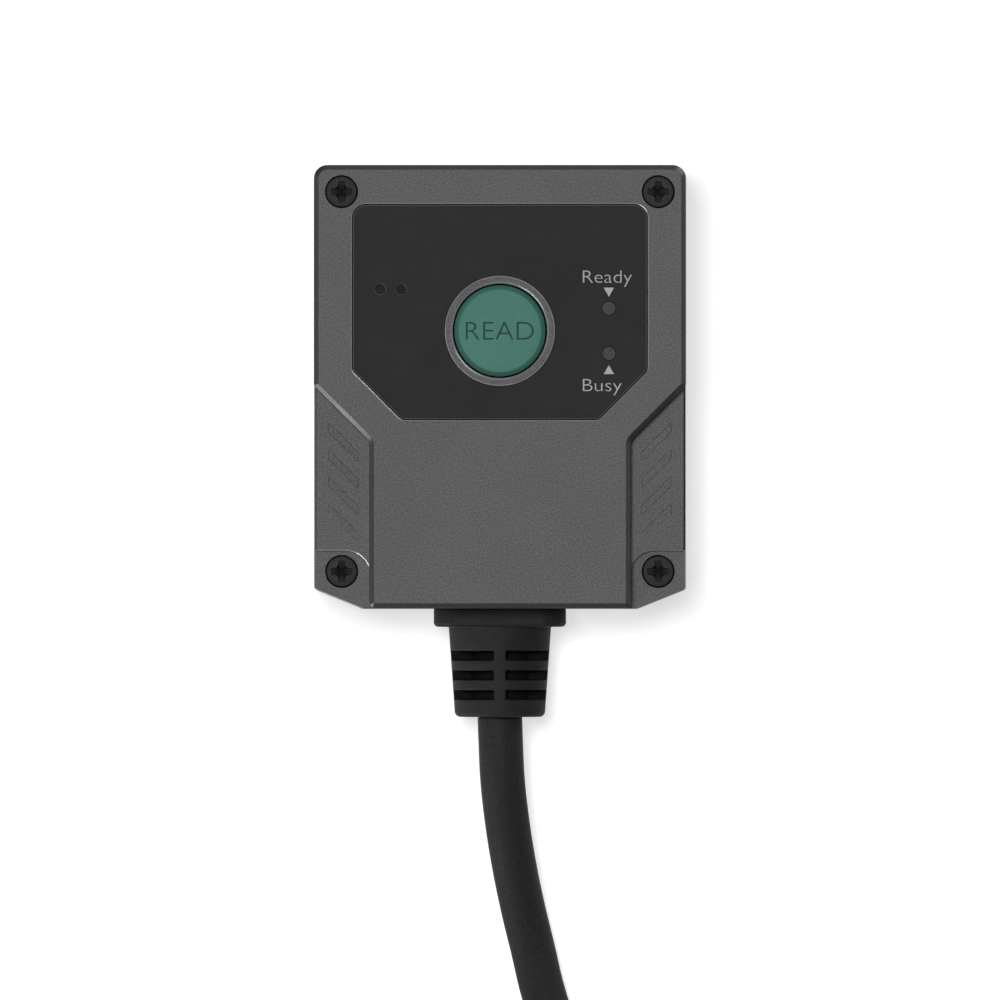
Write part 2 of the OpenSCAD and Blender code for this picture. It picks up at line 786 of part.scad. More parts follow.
// Block of the scan engine with bores for its optics and two screw ears
module engine_frame() {
    color([0.15, 0.15, 0.15]) difference() {
        union() {
            translate([-engine_w / 2, engine_y2, engine_z]) cube([engine_w, engine_l, engine_h]);
            for (sx = [-1, 1]) translate([sx * ear_x - ear_w / 2, engine_y2, engine_z])
                cube([ear_w, ear_l, ear_h]);
        }
        bar_back(0, engine_y1 + cut, lens_z, barrel_r + slack, engine_l + 2 * cut);
        for (sx = [-1, 1]) {
            bar_back(sx * led_x, engine_y1 + cut, lens_z, led_r + slack, led_l + cut);
            translate([sx * ear_x, ear_y, engine_z - cut])
                cylinder(r = engine_screw_r + slack, h = ear_h + 2 * cut);
            bar_back(sx * board_hole_x, engine_y2 + pcb_screw_l + slack, board_hole_z,
                engine_screw_r + slack, pcb_screw_l + slack + cut);
        }
        bar_back(aim_x, engine_y1 + cut, lens_z + aim_up, aim_r + slack, aim_l + cut);
    }
}

module engine_screws() {
    color("silver") for (sx = [-1, 1]) translate([sx * ear_x, ear_y, engine_z + ear_h]) {
        cylinder(r = engine_head_r, h = engine_head_h);
        translate([0, 0, -engine_screw_l]) cylinder(r = engine_screw_r, h = engine_screw_l + 0.1);
    }
}

module engine_board() {
    color("darkgreen") difference() {
        translate([-engine_w / 2, pcb_y, engine_z]) cube([engine_w, pcb_t, engine_h]);
        for (sx = [-1, 1])
            bar_back(sx * board_hole_x, engine_y2 + cut, board_hole_z, engine_screw_r + slack, 3 * cut);
    }
}

module engine_board_screws() {
    color("silver") for (sx = [-1, 1]) {
        bar_back(sx * board_hole_x, pcb_y, board_hole_z, engine_head_r, engine_head_h);
        bar_back(sx * board_hole_x, engine_y2 + pcb_screw_l, board_hole_z, engine_screw_r,
            pcb_screw_l + pcb_t + slack);
    }
}

module lens_barrel() {
    color("black") difference() {
        bar_back(0, engine_y1 + barrel_out, lens_z, barrel_r, engine_l + barrel_out - slack);
        bar_back(0, engine_y1 + barrel_out + cut, lens_z, barrel_r - barrel_wall, barrel_deep + cut);
        bar_back(0, engine_y1, lens_z, barrel_r / 2, engine_l + cut);
    }
}

// Front lens of the camera, a glass disc with a domed face
module camera_lens() {
    lens_t = 2.4;
    lens_y = engine_y1 + barrel_out - barrel_deep + lens_t;
    dome_r = 6;
    color("lightblue") intersection() {
        bar_back(0, lens_y, lens_z, barrel_r - barrel_wall - slack, lens_t);
        translate([0, lens_y - dome_r, lens_z]) sphere(r = dome_r);
    }
}

// Clear domed light in a bore of the engine's face
module dome_light(x, z, r, l) {
    bar_back(x, engine_y1, z, r, l);
    intersection() {
        translate([x, engine_y1, z]) sphere(r = r);
        bar_back(x, engine_y1 + r, z, r, r + l);
    }
}

module illumination_leds() {
    color("white") for (sx = [-1, 1]) dome_light(sx * led_x, lens_z, led_r, led_l);
}

module aimer_lens() {
    color("lightgreen") dome_light(aim_x, lens_z + aim_up, aim_r, aim_l);
}

// Ribbon sockets: one on the back of the engine's board, one under the main board
module flex_sockets() {
    color("ivory") {
        translate([-flex_socket_w / 2, pcb_y - flex_socket_h, flex_z - flex_socket_l / 2])
            cube([flex_socket_w, flex_socket_h, flex_socket_l]);
        translate([-flex_socket_w / 2, flex_up_y - flex_socket_l / 2, board_under - flex_socket_h])
            cube([flex_socket_w, flex_socket_l, flex_socket_h]);
    }
}

// Flat ribbon, bent up from the engine's socket to the main board's
module engine_flex() {
    bend_z = flex_z + flex_r;
    start_y = pcb_y - flex_socket_h;
    color("orange") translate([-flex_w / 2, 0, 0]) rotate([90, 0, 90]) linear_extrude(flex_w) {
        translate([start_y, bend_z]) intersection() {
            difference() {
                circle(r = flex_r + flex_t / 2);
                circle(r = flex_r - flex_t / 2);
            }
            translate([-2 * flex_r, -2 * flex_r]) square(2 * flex_r);
        }
        translate([start_y - flex_r - flex_t / 2, bend_z])
            square([flex_t, board_under - flex_socket_h - bend_z]);
    }
}

module cable_socket() {
    color("ivory") translate([-socket_w / 2, socket_y - socket_l / 2, board_under - socket_h])
        cube([socket_w, socket_l, socket_h]);
}

module cable_plug() {
    plug_w = socket_w - 2;
    color("white") translate([-plug_w / 2, socket_y - socket_l / 2 - lead_plug_l, lead_plug_z()])
        cube([plug_w, lead_plug_l, lead_plug_h]);
}

function lead_plug_z() = board_under - socket_h / 2 - lead_plug_h / 2;

// Four wires from the cable's inner end up to the plug on the board
module lead_wires() {
    lead_y1 = back_y + wall + neck_lip_t;
    lead_y2 = socket_y - socket_l / 2 - lead_plug_l;
    lead_z2 = lead_plug_z() + lead_plug_h / 2;
    lead_stub = 0.4;
    bunch = 0.7;
    steps = 8;
    color("firebrick") for (i = [0 : lead_n - 1]) {
        x = (i - (lead_n - 1) / 2) * lead_pitch;
        tube(concat(
            [[bunch * x, lead_y1, cable_z]],
            [for (k = [0 : steps])
                let (t = k / steps, s = t * t * (3 - 2 * t))
                [x * (bunch + (1 - bunch) * s), lead_y1 + lead_stub + t * (lead_y2 - lead_y1 - 2 * lead_stub),
                 cable_z + s * (lead_z2 - cable_z)]],
            [[x, lead_y2, lead_z2]]
        ), lead_r, 8);
    }
}

// Moulded strain relief: flange, tapered slotted body, and a neck that grips the wall
module cable_boot() {
    end_r = 0.5;
    color([0.16, 0.16, 0.16]) {
        hull() {
            upright(back_y, cable_z, slack) flange_shape(0);
            for (a = [0 : 30 : 90])
                upright(back_y - flange_t + flange_r * (1 - sin(a)) + slack, cable_z, slack)
                    flange_shape(flange_r * (1 - cos(a)));
        }
        bar_back(0, back_y + wall, cable_z, neck_r, wall + slack);
        bar_back(0, back_y + wall + neck_lip_t, cable_z, neck_lip_r, neck_lip_t);
        difference() {
            translate([0, back_y - flange_t, cable_z]) rotate([90, 0, 0]) rotate_extrude()
                polygon([
                    [0, -slack], [boot_r1, -slack], [boot_r2 + 0.03, boot_l - end_r],
                    [boot_r2 - 0.12, boot_l - 0.15], [boot_r2 - end_r, boot_l], [0, boot_l]
                ]);
            for (i = [0 : slot_n - 1])
                translate([0, back_y - flange_t - slot_first - i * slot_pitch, cable_z]) boot_slot();
        }
    }
}

// Outline of the boot's flange, drawn in by d on all sides
module flange_shape(d) {
    rounded_rect(flange_w - 2 * d, flange_h - 2 * d, flange_corner - d);
}

// One row of slots: cut into the top and bottom, round the core, beside the middle rib
module boot_slot() {
    for (sx = [-1, 1])
        for (sz = [-1, 1])
            difference() {
                translate([
                    sx > 0 ? rib_w / 2 : -2 * boot_r1, -slot_w / 2, sz > 0 ? slot_low : -2 * boot_r1
                ]) cube([2 * boot_r1 - rib_w / 2, slot_w, 2 * boot_r1 - slot_low]);
                bar_back(0, slot_w, 0, boot_core_r, 2 * slot_w);
            }
}

module cable() {
    color([0.16, 0.16, 0.16]) tube(route, cable_d / 2, cable_sides);
}

module cable_coil() {
    color([0.16, 0.16, 0.16]) translate([coil_x, coil_y, coil_lift + coil_w / 2]) rotate_extrude()
        translate([coil_r, 0]) rounded_rect(coil_w, coil_w, cable_d / 2);
}

module cable_tail() {
    color([0.16, 0.16, 0.16]) tube(tail, cable_d / 2, cable_sides);
}

// Band that holds the coil's turns together
module cable_tie() {
    inner_w = coil_w + 2 * tie_gap;
    outer_w = inner_w + 2 * tie_t;
    color("black") translate([coil_x, coil_y, coil_lift + coil_w / 2]) rotate(tie_angle)
        translate([coil_r, tie_w / 2, 0]) rotate([90, 0, 0]) linear_extrude(tie_w) difference() {
            rounded_rect(outer_w, outer_w, cable_d / 2 + tie_t);
            rounded_rect(inner_w, inner_w, cable_d / 2);
        }
}

// The plug lies along -X on top of the coil; each piece is placed from the cable's end
module along_plug(from) {
    translate([plug_at.x - from, plug_at.y, plug_at.z]) rotate([90, 0, -90]) children();
}

module plug_body() {
    ridge_n = 4;
    ridge_pitch = 2;
    ridge_deep = 0.4;
    color([0.16, 0.16, 0.16]) difference() {
        union() {
            along_plug(0) cylinder(r1 = relief_r1, r2 = relief_r2, h = relief_l + slack);
            along_plug(relief_l) linear_extrude(grip_l) rounded_rect(grip_w, grip_h, grip_r);
        }
        for (i = [0 : ridge_n - 1])
            for (s = [-1, 1])
                along_plug(relief_l + 6 + i * ridge_pitch) linear_extrude(ridge_pitch / 2)
                    translate([s * grip_w / 2, 0])
                        square([2 * ridge_deep, 2 * grip_h], center = true);
    }
}

// Folded metal shell, open at the front, with two latch holes above and below
module plug_shell() {
    hole = 2.3;
    color("silver") difference() {
        along_plug(relief_l + grip_l) linear_extrude(shell_l) difference() {
            rounded_rect(shell_w, shell_h, 0.6);
            rounded_rect(shell_w - 2 * sheet_t, shell_h - 2 * sheet_t, 0.3);
        }
        for (s = [-1, 1])
            along_plug(relief_l + grip_l + shell_l / 2 - hole / 2) linear_extrude(hole)
                translate([s * shell_w / 4, 0]) square([hole, 2 * shell_h], center = true);
    }
}

module plug_tongue() {
    tongue_out = 0.3;
    color("white") along_plug(relief_l + grip_l) linear_extrude(shell_l - tongue_out)
        translate([0, -shell_h / 2 + sheet_t + slack + tongue_h / 2])
            square([tongue_w, tongue_h], center = true);
}

module plug_contacts() {
    contact_pitch = 2.3;
    color("gold") for (i = [0 : 3])
        along_plug(relief_l + grip_l + 1) linear_extrude(contact_l)
            translate([(i - 1.5) * contact_pitch, -shell_h / 2 + sheet_t + slack + tongue_h + contact_t / 2])
                square([contact_w, contact_t], center = true);
}

lower_case();
top_cover();
label_panel();
scan_button();
switch_plunger();
cover_screws();
cover_inserts();
base_inserts();
scan_window();
window_seal();
case_seal();
upper_light_pipe();
lower_light_pipe();
main_board();
board_screws();
main_chip();
tact_switch();
beeper();
status_leds();
engine_frame();
engine_screws();
engine_board();
engine_board_screws();
lens_barrel();
camera_lens();
illumination_leds();
aimer_lens();
flex_sockets();
engine_flex();
cable_socket();
cable_plug();
lead_wires();
cable_boot();
cable();
cable_coil();
cable_tail();
cable_tie();
plug_body();
plug_shell();
plug_tongue();
plug_contacts();
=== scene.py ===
import json
import math

import bmesh
import bpy
from mathutils import Matrix, Vector

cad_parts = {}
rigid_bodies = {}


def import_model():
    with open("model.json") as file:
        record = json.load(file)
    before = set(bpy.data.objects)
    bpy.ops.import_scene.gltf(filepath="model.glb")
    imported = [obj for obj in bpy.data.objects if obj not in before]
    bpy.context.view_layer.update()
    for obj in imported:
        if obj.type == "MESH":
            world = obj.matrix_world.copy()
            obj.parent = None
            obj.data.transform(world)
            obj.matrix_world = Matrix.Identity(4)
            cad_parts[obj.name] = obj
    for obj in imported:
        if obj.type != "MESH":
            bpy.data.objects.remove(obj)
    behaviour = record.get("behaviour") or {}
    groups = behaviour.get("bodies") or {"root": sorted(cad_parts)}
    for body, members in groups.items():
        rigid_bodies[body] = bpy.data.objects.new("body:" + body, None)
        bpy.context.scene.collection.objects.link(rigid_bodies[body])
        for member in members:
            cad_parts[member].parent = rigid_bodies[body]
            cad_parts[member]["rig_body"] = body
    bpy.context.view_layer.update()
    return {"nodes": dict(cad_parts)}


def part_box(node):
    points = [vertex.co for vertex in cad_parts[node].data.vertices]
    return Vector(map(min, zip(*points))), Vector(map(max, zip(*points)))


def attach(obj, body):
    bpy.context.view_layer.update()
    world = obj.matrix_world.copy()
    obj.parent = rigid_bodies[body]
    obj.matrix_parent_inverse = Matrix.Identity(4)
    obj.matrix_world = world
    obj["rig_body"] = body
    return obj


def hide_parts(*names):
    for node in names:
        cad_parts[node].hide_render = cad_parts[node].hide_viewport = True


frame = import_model()

# Studio: a camera straight above the reader, a plain pale floor and soft lamps.
# A broad lamp overhead lights the flat faces, two low strips pick out the lid's chamfers
# at the lower left and the upper right, and two black cards keep the others dark.
CAMERA_AT = (0.000011, -0.012609, 3.0238)
FOCAL_LENGTH, SENSOR_WIDTH = 968.8, 36.0
LID_MIDDLE = (0.0, 0.0, 0.022)
CARD_FAR, CARD_HALF, CARD_TALL, CARD_TONE = 0.4, 0.22, 0.28, 0.01
FLOOR_HALF, FLOOR_Z, FLOOR_TONE, FLOOR_LIFT = 0.28, -0.0001, 0.6, 0.6
FILL_LIGHT, WHITE = 0.06, 1.0

scene = bpy.context.scene
scene.view_settings.view_transform = "Standard"
lens = bpy.data.cameras.new("camera")
lens.sensor_width = SENSOR_WIDTH
lens.lens = FOCAL_LENGTH
lens.clip_end = 20.0
camera = bpy.data.objects.new("camera", lens)
camera.location = CAMERA_AT
scene.collection.objects.link(camera)
scene.camera = camera


def lamp(name, azimuth, elevation, far, width, height, watts):
    """Area lamp that shines at the lid from an azimuth, counter-clockwise from +X."""
    light = bpy.data.lights.new(name, "AREA")
    light.shape = "RECTANGLE"
    light.size, light.size_y = width, height
    light.energy = watts
    stand = bpy.data.objects.new(name, light)
    around, above = math.radians(azimuth), math.radians(elevation)
    flat = math.cos(above)
    back = Vector((flat * math.cos(around), flat * math.sin(around), math.sin(above)))
    stand.location = Vector(LID_MIDDLE) + far * back
    stand.rotation_mode = "QUATERNION"
    stand.rotation_quaternion = back.to_track_quat("Z", "Y")
    stand.visible_camera = False
    scene.collection.objects.link(stand)


lamp("lamp_overhead", azimuth=135, elevation=83, far=1.0, width=0.22, height=0.22, watts=8.3)
lamp("lamp_lower_left", azimuth=225, elevation=4, far=0.8, width=0.56, height=0.10, watts=5.6)
lamp("lamp_upper_right", azimuth=45, elevation=4, far=0.8, width=0.56, height=0.10, watts=3.8)

card_black = bpy.data.materials.new("card_black")
card_black.use_nodes = True
shade = card_black.node_tree.nodes["Principled BSDF"]
shade.inputs["Base Color"].default_value = (CARD_TONE, CARD_TONE, CARD_TONE, 1)
shade.inputs["Specular IOR Level"].default_value = 0.0
for name, azimuth in (("card_lower_right", 315), ("card_upper_left", 135)):
    around = math.radians(azimuth)
    foot = Vector((math.cos(around), math.sin(around), 0)) * CARD_FAR
    along = Vector((-math.sin(around), math.cos(around), 0)) * CARD_HALF
    top = foot + Vector((0, 0, CARD_TALL))
    mesh = bpy.data.meshes.new(name)
    mesh.from_pydata([foot - along, foot + along, top + along, top - along], [], [(0, 1, 2, 3)])
    mesh.materials.append(card_black)
    card = bpy.data.objects.new(name, mesh)
    card.visible_camera = False
    scene.collection.objects.link(card)

floor_mesh = bpy.data.meshes.new("floor")
floor_corners = [(x * FLOOR_HALF, y * FLOOR_HALF, FLOOR_Z)
                 for x, y in ((-1, -1), (1, -1), (1, 1), (-1, 1))]
floor_mesh.from_pydata(floor_corners, [], [(0, 1, 2, 3)])
floor = bpy.data.objects.new("floor", floor_mesh)
scene.collection.objects.link(floor)


def seen_rays(tree):
    """1 for rays from the camera, from a shiny surface or through a clear one."""
    path = tree.nodes.new("ShaderNodeLightPath")
    first = tree.nodes.new("ShaderNodeMath")
    first.operation = "MAXIMUM"
    second = tree.nodes.new("ShaderNodeMath")
    second.operation = "MAXIMUM"
    tree.links.new(path.outputs["Is Camera Ray"], first.inputs[0])
    tree.links.new(path.outputs["Is Glossy Ray"], first.inputs[1])
    tree.links.new(first.outputs[0], second.inputs[0])
    tree.links.new(path.outputs["Is Transmission Ray"], second.inputs[1])
    return second.outputs[0]


floor_paint = bpy.data.materials.new("floor_paint")
floor_paint.use_nodes = True
tree = floor_paint.node_tree
tree.nodes.remove(tree.nodes["Principled BSDF"])
matt = tree.nodes.new("ShaderNodeBsdfDiffuse")
matt.inputs["Color"].default_value = (FLOOR_TONE, FLOOR_TONE, FLOOR_TONE, 1)
lift = tree.nodes.new("ShaderNodeEmission")
lift.inputs["Color"].default_value = (FLOOR_LIFT, FLOOR_LIFT, FLOOR_LIFT, 1)
tree.links.new(seen_rays(tree), lift.inputs["Strength"])
both = tree.nodes.new("ShaderNodeAddShader")
tree.links.new(matt.outputs[0], both.inputs[0])
tree.links.new(lift.outputs[0], both.inputs[1])
tree.links.new(both.outputs[0], tree.nodes["Material Output"].inputs["Surface"])
floor_mesh.materials.append(floor_paint)

world = bpy.data.worlds.new("studio")
world.use_nodes = True
tree = world.node_tree
sky = tree.nodes["Background"]
sky.inputs["Color"].default_value = (1, 1, 1, 1)
level = tree.nodes.new("ShaderNodeMapRange")
level.inputs["To Min"].default_value = FILL_LIGHT
level.inputs["To Max"].default_value = WHITE
tree.links.new(seen_rays(tree), level.inputs["Value"])
tree.links.new(level.outputs["Result"], sky.inputs["Strength"])
scene.world = world

# Cable: a round PVC lead, 5 mm thick, moulded into the boot at one end and the plug at
# the other. It drops to the floor, and the length out of view is wound into a tied coil.
CABLE_D = 0.005
COIL_MIDDLE = (0.00185, -0.11385)
COIL_RADII = (0.0225, 0.0275, 0.0325)
COIL_ROWS = (0.0033, 0.0083, 0.0133)
COIL_START, COIL_STEP = 300, 15
CROSS_FROM, CROSS_TO = 200, 270
MM = 0.001


def grained(name, colour, rough, size, depth, shift=0.2, metal=0.0, gloss=0.5, streak=(1, 1, 1)):
    """Finish with a fine grain: its tone and sheen vary a little, and the grain stands up."""
    mat = bpy.data.materials.new(name)
    mat.use_nodes = True
    nodes, links = mat.node_tree.nodes, mat.node_tree.links
    shade = nodes["Principled BSDF"]
    shade.inputs["Metallic"].default_value = metal
    shade.inputs["Specular IOR Level"].default_value = gloss
    place = nodes.new("ShaderNodeTexCoord")
    turn = nodes.new("ShaderNodeMapping")
    turn.inputs["Scale"].default_value = streak
    grain = nodes.new("ShaderNodeTexNoise")
    grain.inputs["Scale"].default_value = 1.0 / size
    grain.inputs["Detail"].default_value = 3.0
    blotch = nodes.new("ShaderNodeTexNoise")
    blotch.inputs["Scale"].default_value = 0.04 / size
    tone = nodes.new("ShaderNodeValToRGB")
    tone.color_ramp.elements[0].position = 0.32
    tone.color_ramp.elements[0].color = (*[c * (1 - shift) for c in colour], 1)
    tone.color_ramp.elements[1].position = 0.68
    tone.color_ramp.elements[1].color = (*[min(1, c * (1 + shift)) for c in colour], 1)
    sheen = nodes.new("ShaderNodeMapRange")
    sheen.inputs["From Min"].default_value = 0.3
    sheen.inputs["From Max"].default_value = 0.7
    sheen.inputs["To Min"].default_value = max(0.02, rough - 0.06)
    sheen.inputs["To Max"].default_value = min(1.0, rough + 0.06)
    relief = nodes.new("ShaderNodeBump")
    relief.inputs["Distance"].default_value = depth
    links.new(place.outputs["Object"], turn.inputs["Vector"])
    links.new(turn.outputs["Vector"], grain.inputs["Vector"])
    links.new(place.outputs["Object"], blotch.inputs["Vector"])
    links.new(grain.outputs["Fac"], tone.inputs["Fac"])
    links.new(tone.outputs["Color"], shade.inputs["Base Color"])
    links.new(blotch.outputs["Fac"], sheen.inputs["Value"])
    links.new(sheen.outputs["Result"], shade.inputs["Roughness"])
    links.new(grain.outputs["Fac"], relief.inputs["Height"])
    links.new(relief.outputs["Normal"], shade.inputs["Normal"])
    return mat


def coil_points():
    """Clockwise turns that lie beside and on each other, the outer one on the floor first."""
    inner, middle, outer = COIL_RADII
    low, mid, top = COIL_ROWS
    lay = [(outer, low), (middle, low), (inner, low), (inner, mid), (middle, mid), (outer, mid),
           (outer, top), (middle, top)]
    points = []
    for angle in range(COIL_START + COIL_STEP, CROSS_FROM + 360 * len(lay), COIL_STEP):
        lap = max(0, (angle - CROSS_FROM) // 360 - 1)
        share = (angle - CROSS_FROM - 360 * (lap + 1)) / (CROSS_TO - CROSS_FROM)
        share = min(1.0, max(0.0, share))
        share = share * share * (3 - 2 * share)
        (r1, z1), (r2, z2) = lay[lap], lay[min(lap + 1, len(lay) - 1)]
        r = r1 + share * (r2 - r1)
        around = math.radians(-angle)
        points.append((COIL_MIDDLE[0] + r * math.cos(around), COIL_MIDDLE[1] + r * math.sin(around),
                       z1 + share * (z2 - z1)))
    return points


route = [
    (0, -36.9, 9.5), (0.1, -40, 9.4), (0.3, -44, 8.8), (0.8, -48.5, 7.6), (1.5, -53, 6),
    (2.5, -58, 4.3), (3.7, -63, 3.1), (4.9, -68, 2.6), (6.75, -73.3, 2.5), (9.8, -78.3, 2.6),
    (13.6, -82.4, 2.9), (18.1, -85.7, 3.3),
]
tail = [
    (-24, -104.4, 13.3), (-19.2, -96.2, 14.4), (-11.9, -90, 16.5), (-2.9, -86.8, 18.2),
    (6.6, -86.8, 18.6), (14.1, -89, 18.6), (20.9, -92.7, 18.6), (26.7, -97.8, 18.6),
    (31.4, -103.9, 18.7), (34.2, -112.1, 18.7), (33.3, -120.8, 19), (29, -128.3, 19.4),
    (21.9, -133.5, 19.8), (13.4, -135.3, 19.9), (12.4, -135.3, 19.9),
]
cable_line = [tuple(MM * c for c in p) for p in route]
cable_line += coil_points()
cable_line += [tuple(MM * c for c in p) for p in tail]
cable_curve = bpy.data.curves.new("cable_run", "CURVE")
cable_curve.dimensions = "3D"
cable_curve.bevel_depth = CABLE_D / 2
cable_curve.bevel_resolution = 6
cable_curve.resolution_u = 5
cable_curve.use_fill_caps = True
line = cable_curve.splines.new("BEZIER")
line.bezier_points.add(len(cable_line) - 1)
for knot, p in zip(line.bezier_points, cable_line):
    knot.co = p
    knot.handle_left_type = knot.handle_right_type = "AUTO"
cable_run = bpy.data.objects.new("cable_run", cable_curve)
scene.collection.objects.link(cable_run)
cable_skin = grained("cable_skin", (0.0172, 0.0172, 0.0172), 0.6, 0.0003, 0.000012, gloss=0.06)
cable_curve.materials.append(cable_skin)
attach(cable_run, "housing")
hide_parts("cable", "cable_coil", "cable_tail")

# Cable boot: the strain relief, moulded in soft black PVC over the cable, with a flange
# against the back wall and rows of slots that let it bend. A neck snaps into the tub.
BOOT_EDGE = 0.00018
SLOT_ROWS, SLOT_HALF, SLOT_R = (-30.0, -32.2, -34.4), 0.55, 5.0
BOOT_Z = 9.5


def dressed(node, edge, finish, steps=2, sharp=28):
    """Copy of a solid with its sharp edges rounded off, which stands for that node."""
    solid = bmesh.new()
    solid.from_mesh(frame["nodes"][node].data)
    bmesh.ops.remove_doubles(solid, verts=solid.verts, dist=2e-6)
    mesh = bpy.data.meshes.new(node + "_piece")
    solid.to_mesh(mesh)
    solid.free()
    mesh.shade_smooth()
    mesh.materials.clear()
    mesh.materials.append(finish)
    piece = bpy.data.objects.new(node + "_piece", mesh)
    scene.collection.objects.link(piece)
    round_off = piece.modifiers.new("edges", "BEVEL")
    round_off.width = edge
    round_off.segments = steps
    round_off.limit_method = "ANGLE"
    round_off.angle_limit = math.radians(sharp)
    round_off.use_clamp_overlap = False
    level_off = piece.modifiers.new("flats", "WEIGHTED_NORMAL")
    level_off.weight = 100
    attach(piece, frame["nodes"][node]["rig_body"])
    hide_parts(node)
    return piece


boot_rubber = grained("boot_rubber", (0.0162, 0.0162, 0.0162), 0.6, 0.00025, 0.00001, gloss=0.06)
cable_boot = dressed("cable_boot", BOOT_EDGE, boot_rubber, steps=3)
# Faces in the boot's slots get a near-black rubber instead of the boot's: painted shade deep in the
# slots.
slot_painted_shade = grained("slot_painted_shade", (0.006, 0.006, 0.006), 0.7, 0.00025, 0.00001, gloss=0.02)
cable_boot.data.materials.append(slot_painted_shade)
for face in cable_boot.data.polygons:
    x, y, z = face.center / MM
    in_row = any(abs(y - row) < SLOT_HALF for row in SLOT_ROWS)
    if in_row and math.hypot(x, z - BOOT_Z) < SLOT_R:
        face.material_index = 1

# Tie: a black nylon strap that holds the coil's turns together for storage.
# It is pulled tight round all of them at one place.
strap_nylon = grained("strap_nylon", (0.016, 0.016, 0.016), 0.5, 0.0002, 0.000006, gloss=0.15)
cable_tie = dressed("cable_tie", 0.00012, strap_nylon)

# Plug: a plain flat data plug, moulded onto the end of the cable. Its shell is folded from
# plated sheet, and holds a white tongue with four gilt contacts.
plug_rubber = grained("plug_rubber", (0.021, 0.021, 0.021), 0.6, 0.00025, 0.00001, gloss=0.1)
plug_plating = grained("plug_plating", (0.62, 0.62, 0.63), 0.28, 0.0004, 0.000002, shift=0.06,
                       metal=1.0, streak=(1, 6, 1))
tongue_nylon = grained("tongue_nylon", (0.72, 0.71, 0.68), 0.45, 0.0003, 0.000005, shift=0.05)
contact_gilt = grained("contact_gilt", (0.72, 0.52, 0.21), 0.25, 0.0003, 0.000002, shift=0.08,
                       metal=1.0)
plug_body = dressed("plug_body", 0.0003, plug_rubber, steps=3)
plug_shell = dressed("plug_shell", 0.00008, plug_plating)
plug_tongue = dressed("plug_tongue", 0.0001, tongue_nylon)
plug_contacts = dressed("plug_contacts", 0.00004, contact_gilt)

# Tub: the lower half of the housing, moulded in grey plastic with a fine speckled paint.
# Its walls carry the corner bosses, the window's pocket and the hole for the boot.
PAINT_GREY = 0.108


def speckled_paint(name, grey, speck):
    """Textured paint: tiny light and dark specks that stand up, on a cloudy sheen."""
    mat = bpy.data.materials.new(name)
    mat.use_nodes = True
    nodes, links = mat.node_tree.nodes, mat.node_tree.links
    shade = nodes["Principled BSDF"]
    shade.inputs["Specular IOR Level"].default_value = 0.03
    place = nodes.new("ShaderNodeTexCoord")
    specks = nodes.new("ShaderNodeTexNoise")
    specks.inputs["Scale"].default_value = 1.0 / speck
    specks.inputs["Detail"].default_value = 2.0
    clouds = nodes.new("ShaderNodeTexNoise")
    clouds.inputs["Scale"].default_value = 120.0
    tone = nodes.new("ShaderNodeValToRGB")
    ramp = tone.color_ramp
    ramp.elements[0].position, ramp.elements[1].position = 0.28, 0.74
    ramp.elements[0].color = (grey * 0.66, grey * 0.66, grey * 0.66, 1)
    ramp.elements[1].color = (grey * 1.42, grey * 1.42, grey * 1.42, 1)
    plain = ramp.elements.new(0.5)
    plain.color = (grey, grey, grey, 1)
    sheen = nodes.new("ShaderNodeMapRange")
    sheen.inputs["From Min"].default_value = 0.35
    sheen.inputs["From Max"].default_value = 0.65
    sheen.inputs["To Min"].default_value = 0.5
    sheen.inputs["To Max"].default_value = 0.62
    relief = nodes.new("ShaderNodeBump")
    relief.inputs["Distance"].default_value = 0.000014
    links.new(place.outputs["Object"], specks.inputs["Vector"])
    links.new(place.outputs["Object"], clouds.inputs["Vector"])
    links.new(specks.outputs["Fac"], tone.inputs["Fac"])
    links.new(tone.outputs["Color"], shade.inputs["Base Color"])
    links.new(clouds.outputs["Fac"], sheen.inputs["Value"])
    links.new(sheen.outputs["Result"], shade.inputs["Roughness"])
    links.new(specks.outputs["Fac"], relief.inputs["Height"])
    links.new(relief.outputs["Normal"], shade.inputs["Normal"])
    return mat


def finished(finish, *nodes):
    """Solids that stay as they are, with their own finish."""
    for node in nodes:
        mesh = frame["nodes"][node].data
        mesh.materials.clear()
        mesh.materials.append(finish)


housing_paint = speckled_paint("housing_paint", PAINT_GREY, 0.00017)
finished(housing_paint, "lower_case")

# Inserts and seals: brass bushes pressed hot into the tub's bosses for the lid's screws
# and for mounting, and black rubber rings in grooves round the rim and the window.
turned_brass = grained("turned_brass", (0.66, 0.46, 0.18), 0.3, 0.0003, 0.000004, shift=0.1,
                       metal=1.0, streak=(1, 1, 4))
seal_rubber = grained("seal_rubber", (0.018, 0.018, 0.018), 0.7, 0.0003, 0.00001, gloss=0.3)
finished(turned_brass, "cover_inserts", "base_inserts")
finished(seal_rubber, "case_seal", "window_seal")

# Scan window: a flat pane of dark red acrylic, cast and hard coated, set into the front
# wall on its gasket. It lets the engine's light out and the camera look through.
window_pane = bpy.data.materials.new("window_pane")
window_pane.use_nodes = True
nodes, links = window_pane.node_tree.nodes, window_pane.node_tree.links
shade = nodes["Principled BSDF"]
shade.inputs["Base Color"].default_value = (0.32, 0.02, 0.025, 1)
shade.inputs["Transmission Weight"].default_value = 0.9
shade.inputs["IOR"].default_value = 1.49
place = nodes.new("ShaderNodeTexCoord")
haze = nodes.new("ShaderNodeTexNoise")
haze.inputs["Scale"].default_value = 400.0
wipe = nodes.new("ShaderNodeMapRange")
wipe.inputs["To Min"].default_value = 0.03
wipe.inputs["To Max"].default_value = 0.12
links.new(place.outputs["Object"], haze.inputs["Vector"])
links.new(haze.outputs["Fac"], wipe.inputs["Value"])
links.new(wipe.outputs["Result"], shade.inputs["Roughness"])
dressed("scan_window", 0.00015, window_pane)

